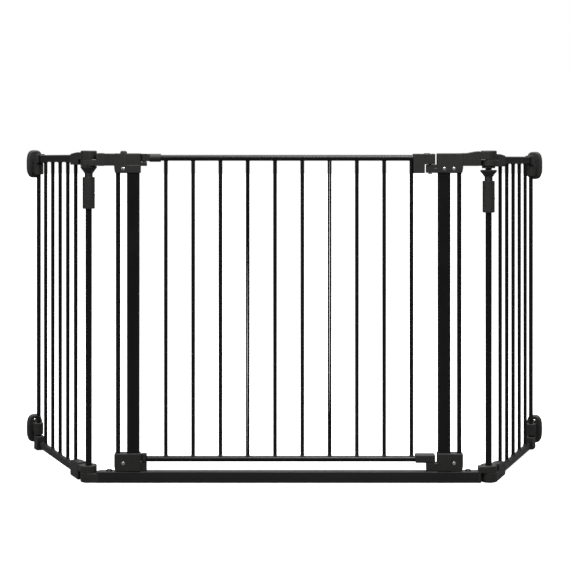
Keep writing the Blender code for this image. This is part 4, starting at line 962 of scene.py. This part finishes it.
DOOR_LOW, DOOR_HIGH = span("door_panel")
TOP_RAIL_Z = DOOR_HIGH.z - DOOR_RAIL_RADIUS
BOTTOM_RAIL_Z = DOOR_LOW.z + DOOR_RAIL_RADIUS
SLEEVE_HIGH = span("upper_hinge_sleeve")[1]
SLEEVE_START = 0.0125 - HINGE_X
door_bars = [BAR_PITCH * (step - 4.5) for step in range(10)]
rail_in_housing = HOUSING_LOW.x + 0.018
panel(
    "door_panel",
    [
        drum((SLEEVE_START + 0.0035, 0, TOP_RAIL_Z), (rail_in_housing, 0, TOP_RAIL_Z),
             DOOR_RAIL_RADIUS, rim=0.0004, sides=48),
        drum((DOOR_LOW.x, 0, BOTTOM_RAIL_Z), (DOOR_HIGH.x, 0, BOTTOM_RAIL_Z), DOOR_RAIL_RADIUS,
             rim=0.0004, sides=48),
    ],
    door_bars, 0.0, (BOTTOM_RAIL_Z, TOP_RAIL_Z), DOOR_RAIL_RADIUS - 0.001,
)
wing_plane, wing_rails, wing_end = {}, {}, {}
for side, place in WING.items():
    low, high = span(f"{side}_wing_panel", place)
    wing_plane[side] = (low.y + high.y) / 2
    half = WING_RAIL_HEIGHT / 2
    levels = (low.z + half, high.z - half)
    wing_rails[side], wing_end[side] = levels, high.x
    rails = [
        rolled_bar((low.x, low.y, level - half), (high.x, high.y, level + half), "X",
                   WING_RAIL_CORNER)
        for level in levels
    ]
    bars = [FIRST_BAR + BAR_PITCH * step for step in range(5)]
    panel(f"{side}_wing_panel", rails, bars, wing_plane[side], levels, half, place)
    low, high = span(f"{side}_wing_end_post", place)
    middle = (low + high) / 2
    piece(
        f"{side}_wing_end_post",
        upright(middle.x, middle.y, low.z, high.z, (high.x - low.x) / 2), place=place,
    )
print("door bars", len(door_bars), "- side panel bars", len(bars))

# %% [markdown]
# ## The door's hinges
#
# The upper sleeve grips the end of the top rail, and its small barrel drops over the hinge pin on
# a nylon bush. The lower barrel plugs into the bottom rail. A small dark screw pins the sleeve to
# the rail, and its recess is part of the moulding.

# %% Door hinges
BARREL_BORE = 0.0048
BUSH_FLANGE = 0.0015
UPPER_BARREL = (SHELF_TOP + 2 * TOUCH + BUSH_FLANGE, SLEEVE_HIGH.z)
LOWER_BARREL = (LOWER_SHELF + 2 * TOUCH + BUSH_FLANGE, span("lower_hinge_sleeve")[1].z)
sleeve = drum((SLEEVE_START, 0, TOP_RAIL_Z), (SLEEVE_HIGH.x, 0, TOP_RAIL_Z), 0.009, 0.0012, 48)
piece(
    "upper_hinge_sleeve", sleeve,
    joined=[
        moulding((-HINGE_X, SLEEVE_START + 0.002), (-0.0045, 0.0045),
                 (UPPER_BARREL[0] + 0.0004, UPPER_BARREL[1] - 0.0004), 0.0006),
        upright(-HINGE_X, 0, *UPPER_BARREL, SHELF_RADIUS, rim=0.001),
    ],
    cut=[
        drum((SLEEVE_START + 0.0032, 0, TOP_RAIL_Z), (SLEEVE_HIGH.x + 0.001, 0, TOP_RAIL_Z),
             DOOR_RAIL_RADIUS + TOUCH, rim=0, sides=48),
        upright(-HINGE_X, 0, UPPER_BARREL[0] - 0.001, UPPER_BARREL[1] - 0.003, BARREL_BORE, rim=0),
        drum((SLEEVE_HIGH.x - 0.006, -0.0100, TOP_RAIL_Z), (SLEEVE_HIGH.x - 0.006, -0.0081, TOP_RAIL_Z),
             0.0020, rim=0, sides=24),
    ],
)
piece(
    "lower_hinge_sleeve", upright(-HINGE_X, 0, *LOWER_BARREL, SHELF_RADIUS, rim=0.0018),
    cut=[upright(-HINGE_X, 0, LOWER_BARREL[0] - 0.001, LOWER_BARREL[1] - 0.003, BARREL_BORE, rim=0)],
)
print("barrels", [round((high - low) * 1000, 1) for low, high in (UPPER_BARREL, LOWER_BARREL)])

# %% [markdown]
# ## The latch
#
# The housing closes the top rail's end. It steps down in front of the keeper's tongue, holds the
# slider and its spring in a chamber, and has a slot in its top for the thumb. The slider's pad is
# ribbed across, so that a thumb doesn't slip off. The shoe below works the same way, but without a
# lock, so it is a plain block that drops over the lower keeper pin.

# %% Latch
CHAMBER_HALF = 0.0075
HOUSING_WALL = 0.003
CHAMBER_FLOOR = TONGUE_TOP + TOUCH + HOUSING_WALL
CHAMBER_TOP = CHAMBER_FLOOR + 0.014
THUMB = KEEPER_X - 0.007
TRAVEL = 0.006
PAD_HALF = (0.006, 0.0061)
STEM_HALF = (0.002, 0.0028)
HOUSING_TOP = HOUSING_HIGH.z
drop = HOUSING_LOW.x + 0.025  # where the housing steps up over the keeper's tongue
outline = [
    (HOUSING_LOW.x, HOUSING_LOW.z), (drop, HOUSING_LOW.z), (drop, TONGUE_TOP + TOUCH),
    (HOUSING_HIGH.x, TONGUE_TOP + TOUCH), (HOUSING_HIGH.x, HOUSING_TOP),
    (HOUSING_LOW.x, HOUSING_TOP),
]
spring_low, spring_high = span("latch_spring")
spring_room = (spring_high.z - spring_low.z) / 2 + 0.0004
spring_z = (spring_low.z + spring_high.z) / 2
piece(
    "latch_housing", cut_out(outline, BRACKET_FRONT, HALF, 0.0018),
    cut=[
        drum((HOUSING_LOW.x - 0.001, 0, TOP_RAIL_Z), (rail_in_housing + TOUCH, 0, TOP_RAIL_Z),
             DOOR_RAIL_RADIUS + TOUCH, rim=0, sides=48),
        upright(door_bars[-1], 0, 0.5, TOP_RAIL_Z, WELD_RADIUS + TOUCH, rim=0),
        box_between((rail_in_housing + 0.0002, -CHAMBER_HALF, CHAMBER_FLOOR),
                    (HOUSING_HIGH.x - 0.002, CHAMBER_HALF, CHAMBER_TOP)),
        box_between((spring_low.x - TOUCH, -spring_room, spring_z - spring_room),
                    (rail_in_housing + 0.003, spring_room, spring_z + spring_room)),
        upright(KEEPER_X, 0, CHAMBER_FLOOR - 0.004, CHAMBER_FLOOR + 0.001,
                PIN_RADIUS + 2 * TOUCH, rim=0, sides=36),
        box_between(
            (THUMB - TRAVEL - STEM_HALF[0] - TOUCH, -STEM_HALF[1] - TOUCH, CHAMBER_TOP - 0.001),
            (THUMB + STEM_HALF[0] + TOUCH, STEM_HALF[1] + TOUCH, HOUSING_TOP + 0.001),
        ),
        box_between(
            (THUMB - TRAVEL - PAD_HALF[0] - TOUCH, -PAD_HALF[1] - TOUCH, HOUSING_TOP - 0.0017),
            (THUMB + PAD_HALF[0] + TOUCH, PAD_HALF[1] + TOUCH, HOUSING_TOP + 0.001),
        ),
        groove_down(drop + 0.0004, BRACKET_FRONT, (CHAMBER_FLOOR - 0.001, HOUSING_TOP - 0.004)),
    ],
)
SLIDER_LOW, SLIDER_HIGH = span("latch_slider")
plate_top = SLIDER_LOW.z + 0.0022
ridges = [
    box_between((x - 0.0004, -0.007, SLIDER_HIGH.z - 0.0006), (x + 0.0004, 0.007, TOP))
    for x in (THUMB - 0.0036 + 0.0018 * step for step in range(5))
]
fork = PIN_RADIUS + TOUCH
piece(
    "latch_slider",
    box_between(SLIDER_LOW, (SLIDER_HIGH.x, SLIDER_HIGH.y, plate_top)),
    joined=[
        box_between((THUMB - STEM_HALF[0], -STEM_HALF[1], plate_top - 0.001),
                    (THUMB + STEM_HALF[0], STEM_HALF[1], HOUSING_TOP)),
        moulding((THUMB - PAD_HALF[0], THUMB + PAD_HALF[0]), (-PAD_HALF[1], PAD_HALF[1]),
                 (HOUSING_TOP - 0.0014, SLIDER_HIGH.z), 0.0007),
    ],
    cut=[
        together(ridges),
        upright(KEEPER_X, 0, SLIDER_LOW.z - 0.001, plate_top + 0.001, fork, rim=0, sides=36),
        box_between((KEEPER_X, -fork, SLIDER_LOW.z - 0.001), (KEEPER_X + 0.004, fork, plate_top + 0.001)),
    ],
)
piece(
    "lower_latch_shoe", moulded_box(SHOE_LOW, SHOE_HIGH, 0.0028),
    cut=[
        drum((SHOE_LOW.x - 0.001, 0, BOTTOM_RAIL_Z), (DOOR_HIGH.x + TOUCH, 0, BOTTOM_RAIL_Z),
             DOOR_RAIL_RADIUS + TOUCH, rim=0, sides=48),
        upright(KEEPER_X, 0, SHOE_LOW.z - 0.001, SHOE_LOW.z + 0.012, PIN_RADIUS + 2 * TOUCH, rim=0,
                sides=36),
    ],
)
print("latch travels", round(TRAVEL * 1000), "mm")

# %% [markdown]
# ## The side panels' mouldings
#
# At the rod, a block holds the rail and turns round the rod with a cap or a knuckle. Its top
# slopes from the rail up to the cap, and its end round the first bar is cut off plainly. At the
# far end, two blocks hold the end post, and the lower one is a foot on the floor.

# %% Panel ends
BLOCK_END = 0.076
BLOCK_HALF = 0.010
BLOCK_WALL, BLOCK_FAR_WALL = 0.0055, 0.0020  # over the rail, at the rod and at the far end
FLOOR_BLOCK_RISE, FLOOR_BLOCK_FAR_WALL = 0.0245, 0.0105
FLOOR_BLOCK_DEPTH = 0.015
END_ROUNDING = 0.007


def rail_slot(start, end, plane, rail_z):
    """The room for a side panel's rail, cut from a block."""
    half = WING_RAIL_HEIGHT / 2 + TOUCH
    return rolled_bar(
        (start, plane - WING_RAIL_SLOT, rail_z - half), (end, plane + WING_RAIL_SLOT, rail_z + half),
        "X", WING_RAIL_CORNER,
    )


def near_block(side, where):
    """The block at the rod, with the cap or knuckle that it turns on."""
    node, place, plane = f"{side}_wing_{where}_knuckle", WING[side], wing_plane[side]
    low, high = span(node, place)
    rail_z = wing_rails[side][where == "top"]
    half = WING_RAIL_HEIGHT / 2
    y = (plane - BLOCK_HALF, plane + BLOCK_HALF)
    if where == "top":
        bottom, top = rail_z - half - BLOCK_WALL, rail_z + half + BLOCK_WALL
        far_top, bar_hole = rail_z + half + BLOCK_FAR_WALL, (bottom - 0.001, rail_z)
        level = (CAP_LOW, TOP) if side == "left" else (KNUCKLE_LOW, KNUCKLE_HIGH)
    else:
        bottom, top = 0.0, rail_z + FLOOR_BLOCK_RISE
        far_top, bar_hole = rail_z + half + FLOOR_BLOCK_FAR_WALL, (rail_z, top + 0.001)
        level = (low.z, FLOOR_KNUCKLE_DEPTH)
        if side == "left":
            foot = FLOOR_KNUCKLE_DEPTH + TOUCH
            level = (foot, foot + FLOOR_BLOCK_DEPTH)
    outline = [
        (BLOCK_START, bottom), (BLOCK_END, bottom), (BLOCK_END, far_top),
        (BLOCK_START + RAMP_LENGTH, top - 0.0012), (BLOCK_START + 0.004, top), (BLOCK_START, top),
    ]
    web_top = min(level[1], top) - 0.0008
    joined = [
        cut_out(outline, *y, 0.0018),
        moulding((-0.0013, BLOCK_START + 0.004), (y[0] + 0.0004, y[1] - 0.0004),
                 (level[0] + 0.0004, web_top), 0.0006),
    ]
    cuts = [
        rail_slot(BLOCK_START + 0.003, BLOCK_END + 0.001, plane, rail_z),
        upright(FIRST_BAR, plane, *bar_hole, WELD_RADIUS + TOUCH, rim=0),
    ]
    if where == "top" and side == "left":
        ring, bore = cap(), (CAP_LOW - 0.001, ROD_END)
    else:
        ring = knuckle(0, 0, *level)
        bore = (0.003 if (side, where) == ("right", "bottom") else -0.001, TOP)
    if where == "top" and side == "right":
        joined.append(boss(0, 0))
        cuts.append(boss_notches(0, 0))
    return piece(node, ring, joined=joined, cut=[*cuts, rod_bore(0, 0, *bore)], place=place)


def end_block(side, where):
    """The block at the end post, round at its outer side."""
    node, place, plane = f"{side}_wing_{where}_end_block", WING[side], wing_plane[side]
    low, high = span(node, place)
    rail_z = wing_rails[side][where == "top"]
    post = span(f"{side}_wing_end_post", place)
    post_x = (post[0].x + post[1].x) / 2
    shape = box_between(low, high)
    upright_edges = [
        edge for edge in shape.edges if abs(edge.verts[0].co.z - edge.verts[1].co.z) > 1e-6
        and edge.verts[0].co.x > post_x
    ]
    soften(shape, upright_edges, END_ROUNDING, 6)
    soften(shape, [edge for edge in shape.edges if edge.calc_face_angle() > 0.7], 0.0012)
    hole = (low.z - 0.001, rail_z) if where == "top" else (rail_z, high.z + 0.001)
    return piece(
        node, shape, place=place,
        cut=[
            rail_slot(low.x - 0.001, wing_end[side] + TOUCH, plane, rail_z),
            upright(post_x, plane, *hole, (post[1].x - post[0].x) / 2 + TOUCH, rim=0),
        ],
    )


for side in WING:
    for where in ("top", "bottom"):
        near_block(side, where)
        end_block(side, where)
print("panel ends:", sum("block" in item.name for item in made), "blocks")

# %% [markdown]
# ## The wall plates
#
# Each end post carries two clamps that swivel, so the plates lie flat on a wall that isn't square
# to the panel. A plate is a thick oval disc with a well-rounded front, screwed to the wall above
# and below its middle. The screw holes are countersunk on the room's side.

# %% Wall plates
PLATE_ROUNDING = 0.0045
HOLE_RADIUS = 0.0025
HOLE_OFFSET = 0.022
HOLE_SINK = 0.0022


def oval(width, height, fullness=3.0, steps=64):
    """A superellipse: an oval with fuller shoulders than an ellipse has."""
    points = []
    for step in range(steps):
        angle = 2 * math.pi * step / steps
        across, up = math.cos(angle), math.sin(angle)
        points.append((
            math.copysign(abs(across) ** (2 / fullness), across) * width / 2,
            math.copysign(abs(up) ** (2 / fullness), up) * height / 2,
        ))
    return points


def wall_plate(side, where):
    """A plate with a well-rounded front and two countersunk holes."""
    place = WING[side]
    low, high = span(f"{side}_{where}_wall_plate", place)
    middle = (low + high) / 2
    outline = [(middle.y + a, middle.z + b) for a, b in oval(high.y - low.y, high.z - low.z)]
    shape = cut_out(outline, low.x, high.x, 0, axis="X")
    for face_x, rounding, steps in ((low.x, PLATE_ROUNDING, 5), (high.x, 0.0006, 2)):
        rim = [e for e in shape.edges if all(abs(v.co.x - face_x) < 1e-6 for v in e.verts)]
        soften(shape, rim, rounding, steps)
    holes = []
    for way in (-1, 1):
        z = middle.z + way * HOLE_OFFSET
        cone = turned([
            (0, -0.001), (HOLE_RADIUS + HOLE_SINK + 0.001, -0.001), (HOLE_RADIUS, HOLE_SINK),
            (HOLE_RADIUS, high.x - low.x + 0.001), (0, high.x - low.x + 0.001),
        ], steps=32)
        turn = Matrix.Translation((low.x, middle.y, z)) @ Matrix.Rotation(math.radians(90), 4, "Y")
        bmesh.ops.transform(cone, matrix=turn, verts=cone.verts)
        holes.append(cone)
    return piece(f"{side}_{where}_wall_plate", shape, cut=holes, place=place)


def plate_clamp(side, where):
    """A split ring round the end post, with a neck that meets its plate."""
    place = WING[side]
    low, high = span(f"{side}_{where}_plate_clamp", place)
    post = span(f"{side}_wing_end_post", place)
    x, y = (post[0].x + post[1].x) / 2, wing_plane[side]
    neck = (low.z + 0.004, high.z - 0.004)
    return piece(
        f"{side}_{where}_plate_clamp", upright(x, y, low.z, high.z, x - low.x, rim=0.0012),
        joined=[moulding((x + 0.0055, high.x), (y - 0.008, y + 0.008), neck, 0.0016)],
        cut=[
            upright(x, y, low.z - 0.001, high.z + 0.001, (post[1].x - post[0].x) / 2 + TOUCH, rim=0),
            box_between((x - 0.013, y - 0.0004, low.z - 0.001), (x - 0.0056, y + 0.0004, high.z + 0.001)),
        ],
        place=place,
    )


for side in WING:
    for where in ("upper", "lower"):
        wall_plate(side, where)
        plate_clamp(side, where)
print("finished pieces:", len(made), "of", len(nodes), "solids")

# %% [markdown]
# ## The stage
#
# The floor is plain and pale, and most of the light comes from overhead. Black satin steel shows
# almost nothing but its reflections, so the room is bright above and dark at the horizon: the tops
# of the rails turn grey, and the upright faces stay nearly black. A white floor would shine up into
# those faces, so the floor looks pale to the camera only, and is dark to the light that bounces.
# Three soft lamps add a slow fall of light from the top of the gate to its foot.

# %% Floor, room and lamps
FLOOR_REACH = 60.0
FLOOR_GLOW = 0.60
FLOOR_SHADE = (0.10, 0.10, 0.10, 1)
HORIZON, OVERHEAD = 0.05, 1.9  # the room's strengths
HORIZON_Z, OVERHEAD_Z = -0.02, 0.85


def add(tree, kind, **values):
    """A new node in a tree, with its own values."""
    node = tree.nodes.new(kind)
    for label, value in values.items():
        node.inputs[label.replace("_", " ")].default_value = value
    return node


def pale_floor():
    """Pale to the camera, and dark to the light that bounces."""
    material = bpy.data.materials.new("pale_floor")
    material.use_nodes = True
    tree = material.node_tree
    link = tree.links.new
    pale = tree.nodes["Principled BSDF"]
    pale.inputs["Specular IOR Level"].default_value = 0.2
    pale.inputs["Emission Color"].default_value = (1, 1, 1, 1)
    pale.inputs["Emission Strength"].default_value = FLOOR_GLOW
    tone = use(material, HANDLING, Scale=0.6, Low=0.62, High=0.70)
    link(tone.outputs["Value"], pale.inputs["Roughness"])
    patches = use(material, HANDLING, Scale=0.8, Low=0.0, High=1.0).outputs["Value"]
    colour = mix_colours(material, (0.86, 0.86, 0.855), (0.90, 0.90, 0.895), patches)
    link(colour, pale.inputs["Base Color"])
    shade = add(tree, "ShaderNodeBsdfDiffuse", Color=FLOOR_SHADE)
    path = add(tree, "ShaderNodeLightPath")
    choice = add(tree, "ShaderNodeMixShader")
    link(path.outputs["Is Camera Ray"], choice.inputs["Fac"])
    link(shade.outputs["BSDF"], choice.inputs[1])
    link(pale.outputs["BSDF"], choice.inputs[2])
    link(choice.outputs["Shader"], tree.nodes["Material Output"].inputs["Surface"])
    return material


def studio():
    """Bright overhead, dark at the horizon, and plain white behind the gate."""
    world = bpy.data.worlds.new("studio")
    world.use_nodes = True
    tree = world.node_tree
    link = tree.links.new
    tree.nodes.clear()
    direction = add(tree, "ShaderNodeTexCoord")
    split = add(tree, "ShaderNodeSeparateXYZ")
    height = add(
        tree, "ShaderNodeMapRange", From_Min=HORIZON_Z, From_Max=OVERHEAD_Z, To_Min=HORIZON,
        To_Max=OVERHEAD,
    )
    height.interpolation_type = "SMOOTHSTEP"
    room = add(tree, "ShaderNodeBackground")
    white = add(tree, "ShaderNodeBackground", Strength=1.0, Color=(1, 1, 1, 1))
    path = add(tree, "ShaderNodeLightPath")
    choice = add(tree, "ShaderNodeMixShader")
    out = add(tree, "ShaderNodeOutputWorld")
    link(direction.outputs["Generated"], split.inputs["Vector"])
    link(split.outputs["Z"], height.inputs["Value"])
    link(height.outputs["Result"], room.inputs["Strength"])
    link(path.outputs["Is Camera Ray"], choice.inputs["Fac"])
    link(room.outputs["Background"], choice.inputs[1])
    link(white.outputs["Background"], choice.inputs[2])
    link(choice.outputs["Shader"], out.inputs["Surface"])
    return world


floor_mesh = as_mesh(
    box_between((-FLOOR_REACH, -FLOOR_REACH, -0.05), (FLOOR_REACH, FLOOR_REACH, -0.0002))
)
floor = bpy.data.objects.new("floor", floor_mesh)
bpy.context.scene.collection.objects.link(floor)
floor.data.materials.append(pale_floor())
bpy.context.scene.world = studio()


def soft_lamp(name, place, target, size, watts):
    """A large square lamp that faces a point."""
    lamp = bpy.data.lights.new(name, "AREA")
    lamp.shape, lamp.size, lamp.energy = "SQUARE", size, watts
    holder = bpy.data.objects.new(name, lamp)
    bpy.context.scene.collection.objects.link(holder)
    holder.location = place
    holder.rotation_mode = "QUATERNION"
    holder.rotation_quaternion = (Vector(target) - Vector(place)).to_track_quat("-Z", "Y")
    return holder


lamps = [
    soft_lamp("top_lamp", (0.2, 0.6, 2.6), (0, 0.1, 0.4), 2.4, 60),
    soft_lamp("left_lamp", (-2.4, -1.6, 1.8), (0, 0, 0.4), 1.2, 18),
    soft_lamp("front_lamp", (0.3, -1.7, 2.3), (0, 0, 0.5), 0.9, 46),
]
print("lamps:", [(lamp.name, lamp.data.energy) for lamp in lamps])

# %% [markdown]
# ## The camera
#
# The camera is level, a little below the top of the gate, and straight in front. A level camera
# keeps every post upright in the picture, and a shifted lens brings the gate back to the middle.

# %% Camera
camera = bpy.data.objects.new("camera", bpy.data.cameras.new("camera"))
bpy.context.scene.collection.objects.link(camera)
camera.data.sensor_width = 36.0
camera.data.lens = 83.3
camera.data.shift_x, camera.data.shift_y = -0.0064, -0.2216
camera.location = (0.0, -2.9, TOP - 0.018)
camera.rotation_euler = (math.radians(90), 0, 0)
camera.data.dof.use_dof = False
bpy.context.scene.camera = camera
bpy.context.scene.view_settings.view_transform = "Standard"
print("camera", [round(value, 3) for value in camera.location])
